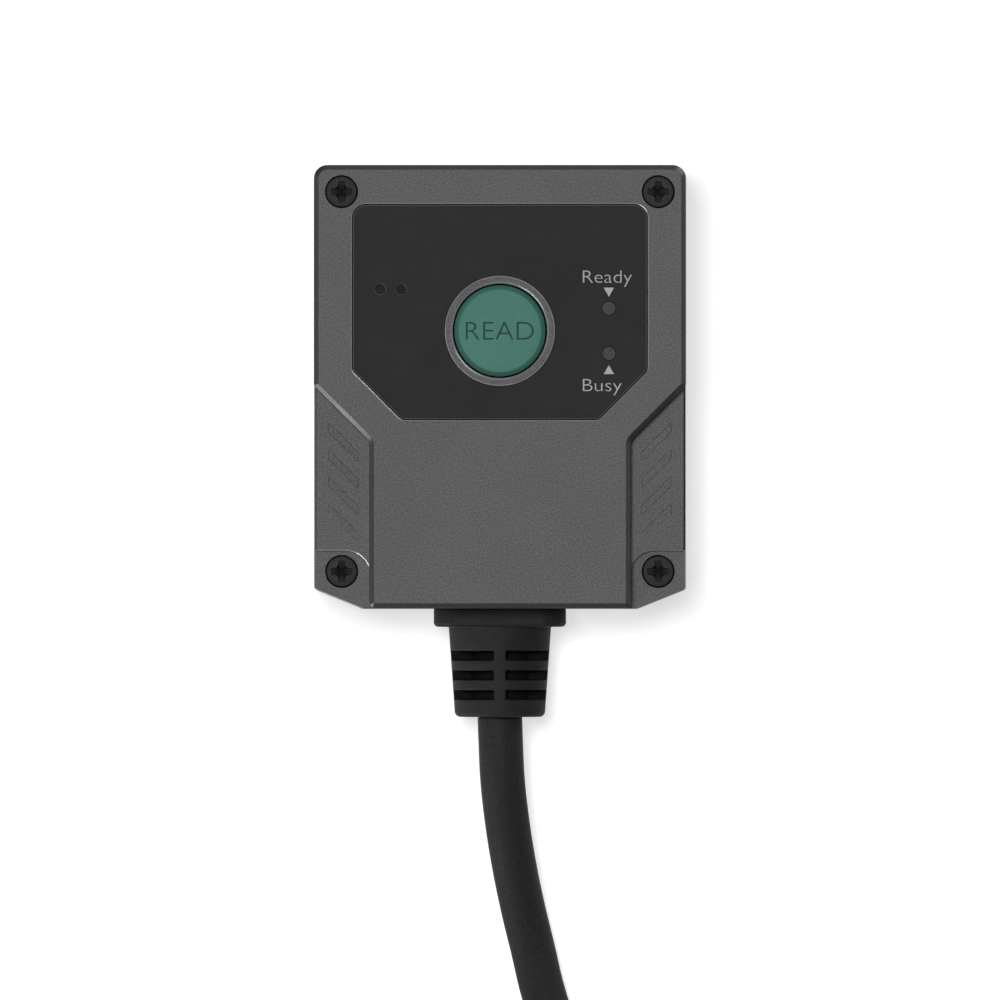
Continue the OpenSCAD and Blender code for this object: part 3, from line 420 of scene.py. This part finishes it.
# Scan engine: a black moulded block with the camera's lens, two white lights and an aimer,
# its own small circuit board screwed on behind, and a ribbon up to the main board.
engine_black = grained("engine_black", (0.02, 0.02, 0.02), 0.55, 0.0003, 0.00001)
lens_glass = grained("lens_glass", (0.05, 0.07, 0.10), 0.06, 0.002, 0.0, shift=0.15, gloss=0.8)
light_dome = grained("light_dome", (0.80, 0.80, 0.74), 0.2, 0.001, 0.000002, shift=0.06)
aimer_dome = grained("aimer_dome", (0.20, 0.45, 0.22), 0.12, 0.001, 0.000002, shift=0.08)
board_green = grained("board_green", (0.02, 0.13, 0.06), 0.35, 0.0006, 0.000008, shift=0.25)
socket_ivory = grained("socket_ivory", (0.70, 0.68, 0.60), 0.5, 0.0003, 0.000006, shift=0.08)
ribbon_film = grained("ribbon_film", (0.48, 0.22, 0.05), 0.3, 0.0008, 0.000004, shift=0.15,
                      streak=(4, 1, 1))
screw_zinc = grained("screw_zinc", (0.58, 0.58, 0.60), 0.32, 0.0003, 0.000004, shift=0.08,
                     metal=1.0)
finished(engine_black, "engine_frame", "lens_barrel")
finished(lens_glass, "camera_lens")
finished(light_dome, "illumination_leds")
finished(aimer_dome, "aimer_lens")
finished(board_green, "engine_board")
finished(socket_ivory, "flex_sockets")
finished(ribbon_film, "engine_flex")
finished(screw_zinc, "engine_screws", "engine_board_screws")

# Main board: a green printed board hung from the lid's posts by four zinc screws. It holds
# the processor, the beeper, two lamps, the button's switch and the socket of the cable.
chip_epoxy = grained("chip_epoxy", (0.022, 0.022, 0.024), 0.6, 0.0002, 0.000008, gloss=0.3)
beeper_case = grained("beeper_case", (0.016, 0.016, 0.016), 0.45, 0.0003, 0.00001)
switch_grey = grained("switch_grey", (0.16, 0.16, 0.17), 0.5, 0.0003, 0.000008)
wire_red = grained("wire_red", (0.36, 0.035, 0.03), 0.45, 0.0004, 0.000006)
finished(board_green, "main_board")
finished(screw_zinc, "board_screws")
finished(chip_epoxy, "main_chip")
finished(beeper_case, "beeper")
finished(switch_grey, "tact_switch")
finished(light_dome, "status_leds")
finished(socket_ivory, "cable_socket", "cable_plug")
finished(wire_red, "lead_wires")

# Lid: the upper half of the housing, moulded and painted as the tub is. It has a raised
# plateau with a chamfered edge, two grooved shoulders, screw pads, a recess for the panel
# and a collar for the button, and bosses and posts on its underside.
SPLIT, BOARD, CEILING, RECESS = 17.0, 17.2, 21.0, 23.2
PAD_TOP, SHOULDER, PLATEAU, COLLAR_TOP = 20.6, 21.4, 23.8, 24.1
SIDE, END, WAIST = 20.75, 24.75, 14.57
WAIST_FRONT, WAIST_REAR, PLATEAU_REAR = 0.17, -6.01, -24.65
CUT_X, CUT_Y = 15.4, -22.6
CHAMFER, EDGE, STRIP = 0.53, 0.12, 0.2
PAD_STEP, PAD_CORNER, PAD_RIM, PAD_ZONE = -18.27, 2.85, 0.13, -15.0
GROOVE_X, GROOVE_Y, GROOVE_PITCH, GROOVE_SPAN = 19.16, -3.88, 3.0, 3.4
GROOVE_T, GROOVE_DEEP, GROOVE_COUNT = 1.15, 0.1, 4
WALL, FRONT_EXTRA, SHOULDER_T = 2.0, 1.5, 1.4
COLLAR_R, COLLAR_BORE, COLLAR_LIP = 6.15, 5.27, 0.2
BOSS_R, HEAD_BORE, SHANK_BORE = 2.9, 1.85, 1.05
POST_R, POST_BORE, POST_DEEP = 2.1, 0.8, 2.8
LAMP_BORE, SOUND_BORE = 0.8, 0.6
PANEL_SIDE, PANEL_FRONT, PANEL_REAR = 16.5, 20.4, -3.7
PANEL_CUT_X, PANEL_CUT_Y = 11.0, 1.8
SHARP = 0.05
BUTTON_AT = (0.0, 6.25)
LAMPS = ((12.15, 8.77), (12.15, 3.73))
SOUND = ((-13.37, 10.9), (-11.03, 10.9))
SCREWS = ((-17.66, 21.76, 22.3), (17.66, 21.76, 22.3),
          (-17.66, -20.58, 19.1), (17.66, -20.58, 19.1))
POSTS = ((14.375, 14.81), (-14.375, 14.81), (10.07, -13.63), (-10.07, -13.63))


def turned(middle, profile, steps=48):
    """Rings of a turned shape: radius and height pairs about an upright axis."""
    angles = [2 * math.pi * k / steps for k in range(steps)]
    return [[(middle[0] + r * math.cos(a), middle[1] + r * math.sin(a), z) for a in angles]
            for r, z in profile]


def skin(rings):
    """Points and faces of a skin over rings of equal length, open at both ends."""
    n = len(rings[0])
    points = [p for r in rings for p in r]
    faces = [(j * n + k, j * n + (k + 1) % n, (j + 1) * n + (k + 1) % n, (j + 1) * n + k)
             for j in range(len(rings) - 1) for k in range(n)]
    return points, faces


def rounded_outline(corners, radii, move, steps=10):
    """Outline with every edge moved inwards and every corner rounded, counter-clockwise."""
    n, out = len(corners), []
    sharp = [Vector(c) for c in corners]
    aim = [(sharp[(i + 1) % n] - sharp[i]).normalized() for i in range(n)]
    left = [Vector((-d.y, d.x)) for d in aim]
    for i in range(n):
        before, after = aim[i - 1], aim[i]
        corner = sharp[i] + move * (left[i - 1] + left[i]) / (1 + left[i - 1].dot(left[i]))
        turn = math.atan2(before.x * after.y - before.y * after.x, before.dot(after))
        side = 1 if turn > 0 else -1
        r = max(SHARP, radii[i] - move * side)
        start = corner - before * r * math.tan(abs(turn) / 2)
        hub = start + left[i - 1] * side * r
        for k in range(steps + 1):
            out.append(hub + Matrix.Rotation(turn * k / steps, 2) @ (start - hub))
    return [(p.x, p.y) for p in out]


def stacked(corners, radii, levels):
    """Rings of one outline, each moved inwards by its own step at its own height."""
    return [[(x, y, z) for x, y in rounded_outline(corners, radii, move)] for move, z in levels]


def capped(*shells):
    """One mesh of closed shells, each a skin over rings, from millimetres to metres."""
    points, faces = [], []
    for rings in shells:
        p, f = skin(rings)
        n, base = len(rings[0]), len(points)
        f += [tuple(range(n - 1, -1, -1)), tuple(range(len(p) - n, len(p)))]
        points += [tuple(MM * c for c in q) for q in p]
        faces += [tuple(base + i for i in face) for face in f]
    mesh = bpy.data.meshes.new("shape")
    mesh.from_pydata(points, [], faces)
    return mesh


def combined(mesh, how, *others):
    """The mesh with others joined to it or cut from it, one after the other."""
    for other in others:
        whole = bpy.data.objects.new("whole", mesh)
        tool = bpy.data.objects.new("tool", other)
        scene.collection.objects.link(whole)
        scene.collection.objects.link(tool)
        step = whole.modifiers.new("step", "BOOLEAN")
        step.operation, step.solver, step.object = how, "EXACT", tool
        ready = bpy.context.evaluated_depsgraph_get()
        mesh = bpy.data.meshes.new_from_object(whole.evaluated_get(ready))
        bpy.data.objects.remove(whole)
        bpy.data.objects.remove(tool)
    return mesh


def shown(name, mesh, finish, body, node, sharp=13):
    """A finished piece that rides on its body and stands for its node."""
    mesh.name = name
    mesh.materials.clear()
    mesh.materials.append(finish)
    mesh.shade_smooth()
    mesh.set_sharp_from_angle(angle=math.radians(sharp))
    piece = bpy.data.objects.new(name, mesh)
    scene.collection.objects.link(piece)
    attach(piece, body)
    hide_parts(node)


rear_corners = [(-SIDE, CUT_Y), (-CUT_X, -END), (CUT_X, -END), (SIDE, CUT_Y)]
rear_radii = [0.45, 0.8, 0.8, 0.45]
waist_corners = [(-SIDE, WAIST_FRONT), (-WAIST, WAIST_REAR), (-WAIST, PLATEAU_REAR),
                 (WAIST, PLATEAU_REAR), (WAIST, WAIST_REAR), (SIDE, WAIST_FRONT)]
waist_radii = [0.3, 1.2, 0.6, 0.6, 1.2, 0.3]
panel_corners = [(PANEL_SIDE, PANEL_FRONT), (-PANEL_SIDE, PANEL_FRONT), (-PANEL_SIDE, PANEL_CUT_Y),
                 (-PANEL_CUT_X, PANEL_REAR), (PANEL_CUT_X, PANEL_REAR), (PANEL_SIDE, PANEL_CUT_Y)]
panel_radii = [1.6, 1.6, 1, 1, 1, 1]


def front_corners(y):
    """The two corners of the front edge at a given place, right one first."""
    return [(SIDE, y), (-SIDE, y)]


def each_side(corners, radii):
    """The same outline on the right and, mirrored, on the left, both counter-clockwise."""
    mirrored = [(-x, y) for x, y in reversed(corners)]
    return (corners, radii), (mirrored, radii[::-1])


plateau = capped(stacked(front_corners(END) + waist_corners, [1.5, 1.5] + waist_radii, [
    (EDGE, SPLIT), (0, SPLIT + EDGE), (0, PLATEAU - CHAMFER), (0.02, PLATEAU - CHAMFER + 0.05),
    (CHAMFER - 0.05, PLATEAU - 0.02), (CHAMFER, PLATEAU)]))
shoulders = capped(stacked(front_corners(END) + rear_corners, [1.5, 1.5] + rear_radii, [
    (STRIP + 0.1, SPLIT), (STRIP, SPLIT + 0.1), (STRIP, SHOULDER - 0.1), (STRIP + 0.1, SHOULDER)]))
pad_outline = [(WAIST - 0.4, -27), (25, -27), (25, PAD_STEP), (WAIST - 0.02, PAD_STEP)]
pad_levels = [(0, SPLIT - 1), (0, SHOULDER - EDGE), (-0.14, SHOULDER + 0.02), (-0.14, SHOULDER + 1)]
pad_cuts = [stacked(corners, radii, pad_levels)
            for corners, radii in each_side(pad_outline, [SHARP, SHARP, SHARP, PAD_CORNER])]
groove_levels = [(0.04, SHOULDER - GROOVE_DEEP), (0, SHOULDER), (0, SHOULDER + 1)]
groove_cuts = []
for i in range(GROOVE_COUNT):
    high = GROOVE_Y - GROOVE_PITCH * i
    low, inner_x = high - GROOVE_SPAN, GROOVE_X - GROOVE_SPAN
    groove_outline = [(GROOVE_X, high), (inner_x, low),
                      (inner_x, low - GROOVE_T), (GROOVE_X, high - GROOVE_T)]
    groove_cuts += [stacked(corners, radii, groove_levels)
                    for corners, radii in each_side(groove_outline, [0.12, 0.3, 0.12, 0.3])]
shoulders = combined(shoulders, "DIFFERENCE", capped(*pad_cuts), capped(*groove_cuts))
pads = capped(stacked(front_corners(PAD_STEP + 0.07) + rear_corners, [SHARP, SHARP] + rear_radii, [
    (0.1, SPLIT), (0, SPLIT + 0.1), (0, PAD_TOP - PAD_RIM), (PAD_RIM, PAD_TOP)]))
lid = combined(plateau, "UNION", shoulders, pads)
lid = combined(lid, "DIFFERENCE", capped(stacked(panel_corners, panel_radii, [
    (0, RECESS), (0, PLATEAU - 0.1), (-0.12, PLATEAU + 0.02), (-0.12, PLATEAU + 1)])))

hollow = combined(
    capped(stacked(front_corners(END - FRONT_EXTRA) + rear_corners, [SHARP, SHARP] + rear_radii,
                   [(WALL, SPLIT - 1), (WALL, SHOULDER - SHOULDER_T)])), "UNION",
    capped(stacked(front_corners(END - FRONT_EXTRA + 0.05) + waist_corners, [SHARP, SHARP] + waist_radii,
                   [(WALL + 0.05, SPLIT - 2), (WALL + 0.05, CEILING)])))
bosses = capped(*[turned(s, [(BOSS_R, SPLIT - 3), (BOSS_R, PLATEAU)]) for s in SCREWS])
lid = combined(lid, "DIFFERENCE", combined(hollow, "DIFFERENCE", bosses))
lid = combined(lid, "UNION", capped(
    turned(BUTTON_AT, [(COLLAR_R, RECESS - 0.1), (COLLAR_R, COLLAR_TOP - 0.12),
                       (COLLAR_R - 0.03, COLLAR_TOP - 0.04), (COLLAR_R - 0.11, COLLAR_TOP)], 96),
    *[turned(p, [(POST_R, BOARD), (POST_R, CEILING + 0.5)]) for p in POSTS]))
lid = combined(lid, "DIFFERENCE", capped(
    turned(BUTTON_AT, [(COLLAR_BORE, CEILING - 1), (COLLAR_BORE, COLLAR_TOP - COLLAR_LIP),
                       (COLLAR_BORE + COLLAR_LIP + 0.01, COLLAR_TOP + 0.01),
                       (COLLAR_BORE + COLLAR_LIP + 0.01, COLLAR_TOP + 1)], 96),
    *[turned(p, [(LAMP_BORE, CEILING - 1), (LAMP_BORE, PLATEAU + 1)], 32) for p in LAMPS],
    *[turned(p, [(SOUND_BORE, CEILING - 1), (SOUND_BORE, PLATEAU + 1)], 32) for p in SOUND],
    *[turned(p, [(POST_BORE, BOARD - 1), (POST_BORE, BOARD + POST_DEEP)], 32) for p in POSTS],
    *[turned(s, [(SHANK_BORE, SPLIT - 1), (SHANK_BORE, s[2]), (HEAD_BORE, s[2] + 0.001),
                 (HEAD_BORE, s[2] + 3)]) for s in SCREWS]))
shown("top_cover_piece", lid, housing_paint, "housing", "top_cover")

# Chamfers and groove walls of the lid get a darker, glossier grey: the gloss is the finish, the darker
# colour is painted shade.
smooth_edge_painted_shade = grained("smooth_edge_painted_shade", (0.026, 0.026, 0.026), 0.3, 0.0002, 0.000002, shift=0.1, gloss=0.19)
# Edges by the panel and the pads get a lighter, glossy grey: the gloss is the finish, the lighter colour
# is a painted highlight.
glossy_edge_painted_highlight = grained("glossy_edge_painted_highlight", (0.16, 0.16, 0.16), 0.25, 0.0002, 0.000002, shift=0.1, gloss=0.5)
# The counterbores, the collar's bore and the panel's recess get a near-black: painted shade in these
# hollows and gaps.
bore_painted_shade = grained("bore_painted_shade", (0.008, 0.008, 0.008), 0.7, 0.0002, 0.000004, gloss=0.02)
EDGE_SHADE, EDGE_HIGHLIGHT, BORE_SHADE = 1, 2, 3
for finish in (smooth_edge_painted_shade, glossy_edge_painted_highlight, bore_painted_shade):
    lid.materials.append(finish)
for face in lid.polygons:
    x, y, z = face.center / MM
    tilt = face.normal.z
    upright = abs(tilt) < 0.3
    in_bore = any(math.hypot(x - s[0], y - s[1]) < HEAD_BORE + 0.01 and z > s[2] - 0.1 and
                  (upright or z < s[2] + 0.1) for s in SCREWS)
    in_collar = upright and math.hypot(x - BUTTON_AT[0], y - BUTTON_AT[1]) < COLLAR_BORE + 0.03
    by_panel = abs(x) < PANEL_SIDE + 0.3 and PANEL_REAR - 0.3 < y < PANEL_FRONT + 0.3
    in_recess = by_panel and RECESS - 0.01 < z < PLATEAU - 0.09 and (upright or z < RECESS + 0.01)
    by_pad = y < PAD_ZONE and abs(x) > WAIST and z < SHOULDER + 0.05
    if in_bore or in_collar or in_recess:
        face.material_index = BORE_SHADE
    elif 0.3 < tilt < 0.985:
        face.material_index = EDGE_HIGHLIGHT if by_panel or by_pad else EDGE_SHADE

# Lid screws: four black oxide pan heads with a cross recess, sunk into counterbores.
# They run down through the lid into the tub's brass inserts.
HEAD_R, HEAD_H, SHANK_R, SHANK_L = 1.69, 1.3, 0.95, 8.0
HEAD_STEPS = 64
CROSS_LEVELS = ((2.42, 0.76, 0.50, 0.0), (2.36, 0.72, 0.48, -0.30),
                (1.40, 0.66, 0.40, -0.44), (0.66, 0.44, 0.10, -0.70))
CROSS_TIP, CROSS_R = -1.0, 1.25


def cross_outline(span, arm, fillet):
    """A cross with rounded inner corners, arm by arm, counter-clockwise from the right one."""
    reach, half, hub = span / 2, arm / 2, arm / 2 + fillet
    quarter = [(reach, -half), (reach, half)]
    for k in range(5):
        around = math.radians(270 - 22.5 * k)
        quarter.append((hub + fillet * math.cos(around), hub + fillet * math.sin(around)))
    turns = ((1, 0), (0, 1), (-1, 0), (0, -1))
    return [(x * cos - y * sin, x * sin + y * cos) for cos, sin in turns for x, y in quarter]


def pan_head(name, seat):
    """One screw with a tapered cross recess pressed into its head."""
    profile = [(0.02, -SHANK_L), (SHANK_R, -SHANK_L + 0.3), (SHANK_R, 0.0), (HEAD_R - 0.06, 0.0),
               (HEAD_R, 0.06), (HEAD_R, HEAD_H - 0.1), (HEAD_R - 0.03, HEAD_H - 0.03),
               (HEAD_R - 0.1, HEAD_H)]
    points, faces = skin(turned((0, 0), profile, HEAD_STEPS))
    body = bmesh.new()
    verts = [body.verts.new(p) for p in points]
    for f in faces:
        body.faces.new([verts[i] for i in f])
    body.faces.new(list(reversed(verts[:HEAD_STEPS])))
    rim = verts[-HEAD_STEPS:]
    loops = [[body.verts.new((x, y, HEAD_H + deep)) for x, y in cross_outline(span, arm, fillet)]
             for span, arm, fillet, deep in CROSS_LEVELS]
    n = len(loops[0])
    for up, low in zip(loops, loops[1:]):
        for k in range(n):
            body.faces.new((up[k], up[(k + 1) % n], low[(k + 1) % n], low[k]))
    tip = body.verts.new((0, 0, HEAD_H + CROSS_TIP))
    for k in range(n):
        body.faces.new((loops[-1][k], loops[-1][(k + 1) % n], tip))
    edges = [body.edges.get((rim[k], rim[(k + 1) % HEAD_STEPS])) for k in range(HEAD_STEPS)]
    edges += [body.edges.get((loops[0][k], loops[0][(k + 1) % n])) for k in range(n)]
    bmesh.ops.triangle_fill(body, use_beauty=True, edges=edges)
    bmesh.ops.recalc_face_normals(body, faces=body.faces)
    bmesh.ops.translate(body, vec=seat, verts=body.verts)
    bmesh.ops.scale(body, vec=(MM, MM, MM), verts=body.verts)
    mesh = bpy.data.meshes.new(name)
    body.to_mesh(mesh)
    body.free()
    mesh.shade_smooth()
    mesh.set_sharp_from_angle(angle=math.radians(24))
    return mesh


screw_black = grained("screw_black", (0.026, 0.026, 0.027), 0.55, 0.00022, 0.000004, shift=0.12,
                      gloss=0.06)
# The cross recess gets a darker black than the head: painted shade inside the recess.
cross_painted_shade = grained("cross_painted_shade", (0.011, 0.011, 0.012), 0.35, 0.0002, 0.000002, shift=0.15,
                      gloss=0.1)
for count, seat in enumerate(SCREWS, 1):
    name = "cover_screw_%d" % count
    mesh = pan_head(name, seat)
    mesh.materials.append(screw_black)
    mesh.materials.append(cross_painted_shade)
    for face in mesh.polygons:
        x, y, z = face.center / MM
        inside = math.hypot(x - seat[0], y - seat[1]) < CROSS_R
        if inside and seat[2] + 0.2 < z < seat[2] + HEAD_H - 0.02:
            face.material_index = 1
    screw = bpy.data.objects.new(name, mesh)
    scene.collection.objects.link(screw)
    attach(screw, "housing")
    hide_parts("cover_screws")

# Panel: a dark polycarbonate plate, glued into the lid's recess. It is cut out for the
# collar, the lamps and the beeper, which has felt behind its holes, and the lamps' labels
# are printed on it in grey.
PANEL_GAP, PANEL_Z, PANEL_HOLE = 0.12, 23.7, 6.2
HOLE_EDGE, FELT_R = 0.66, 0.58
PANEL_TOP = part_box("label_panel")[1].z
INK = 0.00001
INK_TOP = PANEL_TOP + INK
LABEL_CAP, LABEL_THIN = 0.0014, 0.00003
MARK_X, MARK_HALF = 0.01215, 0.000575

panel_film = grained("panel_film", (0.0245, 0.0245, 0.0245), 0.6, 0.00012, 0.000001, shift=0.08,
                     gloss=0.03)
# The plate's chamfered edge gets a lighter grey: a painted highlight along its edge.
panel_edge_painted_highlight = grained("panel_edge_painted_highlight", (0.085, 0.085, 0.085), 0.6, 0.00012, 0.000001, shift=0.1, gloss=0.05)
plate = capped(stacked(panel_corners, panel_radii, [
    (PANEL_GAP, RECESS), (PANEL_GAP, PANEL_Z - 0.07), (PANEL_GAP + 0.1, PANEL_Z)]))
plate = combined(plate, "DIFFERENCE", capped(
    turned(BUTTON_AT, [(PANEL_HOLE, RECESS - 1), (PANEL_HOLE, PANEL_Z + 1)], 96),
    *[turned(p, [(LAMP_BORE, RECESS - 1), (LAMP_BORE, PANEL_Z + 1)]) for p in LAMPS],
    *[turned(p, [(SOUND_BORE, RECESS - 1), (SOUND_BORE, PANEL_Z - 0.05), (HOLE_EDGE, PANEL_Z + 0.01),
                 (HOLE_EDGE, PANEL_Z + 1)]) for p in SOUND]))
shown("label_panel_piece", plate, panel_film, "housing", "label_panel")
plate.materials.append(panel_edge_painted_highlight)
for face in plate.polygons:
    if 0.3 < face.normal.z < 0.98:
        face.material_index = 1
sound_felt = grained("sound_felt", (0.024, 0.023, 0.027), 0.9, 0.0001, 0.00002, shift=0.3, gloss=0.0)
for count, p in enumerate(SOUND, 1):
    pad = capped(turned(p, [(FELT_R, RECESS - 0.4), (FELT_R, RECESS - 0.1),
                            (FELT_R - 0.04, RECESS - 0.05)], 32))
    pad.materials.append(sound_felt)
    felt = bpy.data.objects.new("sound_felt_%d" % count, pad)
    scene.collection.objects.link(felt)
    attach(felt, "housing")
print_grey = grained("print_grey", (0.37, 0.37, 0.37), 0.6, 0.00015, 0.000001, shift=0.06,
                     gloss=0.05)


def lettering(name, words, middle, wide, cap, thick, thin):
    """Words as a solid of a given width and capital height, its strokes thinned on each side."""
    def typed(letters, size, depth, offset):
        curve = bpy.data.curves.new(name, "FONT")
        curve.body, curve.size, curve.align_x = letters, size, "CENTER"
        curve.extrude, curve.offset = depth, offset
        curve.resolution_u = 6
        text = bpy.data.objects.new(name + "_type", curve)
        scene.collection.objects.link(text)
        ready = bpy.context.evaluated_depsgraph_get()
        mesh = bpy.data.meshes.new_from_object(text.evaluated_get(ready))
        bpy.data.objects.remove(text)
        return mesh

    capital = typed("H", 1.0, 0.0, 0.0)
    size = cap / max(v.co.y for v in capital.vertices)
    mesh = typed(words, size, thick / 2, -thin)
    mesh.name = name
    low = min(v.co.x for v in mesh.vertices)
    high = max(v.co.x for v in mesh.vertices)
    top = max(v.co.z for v in mesh.vertices)
    for v in mesh.vertices:
        v.co = (middle[0] + (v.co.x - (low + high) / 2) * wide / (high - low),
                middle[1] + v.co.y - cap / 2, middle[2] + v.co.z - top)
    return mesh


def printed(name, mesh):
    """A mark of grey ink that rides with the panel."""
    mesh.materials.clear()
    mesh.materials.append(print_grey)
    mark = bpy.data.objects.new(name, mesh)
    scene.collection.objects.link(mark)
    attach(mark, "housing")


for name, words, middle, wide in (
        ("label_ready", "Ready", (0.011975, 0.0123, INK_TOP), 0.00545),
        ("label_busy", "Busy", (0.01141, 0.00021, INK_TOP), 0.00432)):
    printed(name, lettering(name, words, middle, wide, LABEL_CAP, INK, LABEL_THIN))
for name, base_y, tip_y in (("mark_ready", 0.01107, 0.01004), ("mark_busy", 0.00143, 0.00243)):
    corners = [(MARK_X - MARK_HALF, base_y), (MARK_X + MARK_HALF, base_y), (MARK_X, tip_y)]
    points, faces = skin([[(x, y, z) for x, y in corners] for z in (PANEL_TOP, INK_TOP)])
    mesh = bpy.data.meshes.new(name)
    mesh.from_pydata(points, [], faces + [(3, 4, 5), (2, 1, 0)])
    printed(name, mesh)

# Light pipes: smoked plastic pins that bring each lamp's light from the board to the panel.
# They are pushed in from below until their lips meet the lid's ceiling.
PIPE_R, PIPE_LIP, PIPE_LOW = 0.75, 0.5, 18.1
pipe_smoke = grained("pipe_smoke", (0.050, 0.061, 0.051), 0.5, 0.0006, 0.000002, shift=0.1, gloss=0.02)
pipe_profile = [
    (PIPE_R, PIPE_LOW), (PIPE_R, CEILING - 1), (PIPE_R + PIPE_LIP, CEILING - 0.999),
    (PIPE_R + PIPE_LIP, CEILING - 0.001), (PIPE_R, CEILING), (PIPE_R, PANEL_Z - 0.05),
    (PIPE_R - 0.04, PANEL_Z),
]
for node, p in zip(("upper_light_pipe", "lower_light_pipe"), LAMPS):
    shown(node + "_piece", capped(turned(p, pipe_profile)), pipe_smoke, "housing", node)

# Scan button: a green cap moulded in satin plastic, with a crowned face, sunk letters and
# a stem on the switch's plunger. A lip under the lid keeps it in, and it travels 0.5 mm.
WORD_WIDE, WORD_CAP, WORD_THIN = 0.0076, 0.00205, 0.00004
WORD_TOP, WORD_THICK = 0.02446, 0.0006
FACE_R, RIM_TOP, STEM_TOP = 4.4, 24.04, 23.4
button_profile = [
    (5.08, 20.9), (5.08, 23.5), (5.05, 23.56), (4.56, 24.04), (4.5, 24.05),
    (3.6, 24.104), (2.4, 24.146), (1.2, 24.171), (0.02, 24.18),
]
button_under = [
    (0.02, 19.6), (1.7, 19.6), (1.7, 23.1), (3.88, 23.1), (3.88, 20.1), (5.98, 20.1), (5.98, 20.9),
]
button_cap = capped(turned(BUTTON_AT, button_under + button_profile, 96))
word_at = (BUTTON_AT[0] * MM, BUTTON_AT[1] * MM, WORD_TOP)
word = lettering("button_word", "READ", word_at, WORD_WIDE, WORD_CAP, WORD_THICK, WORD_THIN)
button_cap = combined(button_cap, "DIFFERENCE", word)
button_green = grained("button_green", (0.0535, 0.164, 0.133), 0.55, 0.0004, 0.000001, shift=0.04,
                       gloss=0.1)
# The sunk letters get a darker green: painted shade in the letters.
word_painted_shade = grained("word_painted_shade", (0.026, 0.066, 0.056), 0.6, 0.0002, 0.000001, shift=0.1, gloss=0.05)
# The stem, the sides and the lip get a near-black green: painted shade in the gap round the cap and
# under it.
stem_painted_shade = grained("stem_painted_shade", (0.006, 0.010, 0.009), 0.7, 0.0003, 0.000002, gloss=0.02)
shown("scan_button_piece", button_cap, button_green, "button", "scan_button", sharp=20)
button_cap.materials.append(word_painted_shade)
button_cap.materials.append(stem_painted_shade)
for face in button_cap.polygons:
    x, y, z = face.center / MM
    if math.hypot(x - BUTTON_AT[0], y - BUTTON_AT[1]) < FACE_R and 23.6 < z < RIM_TOP:
        face.material_index = 1
    elif z < STEM_TOP:
        face.material_index = 2
finished(beeper_case, "switch_plunger")
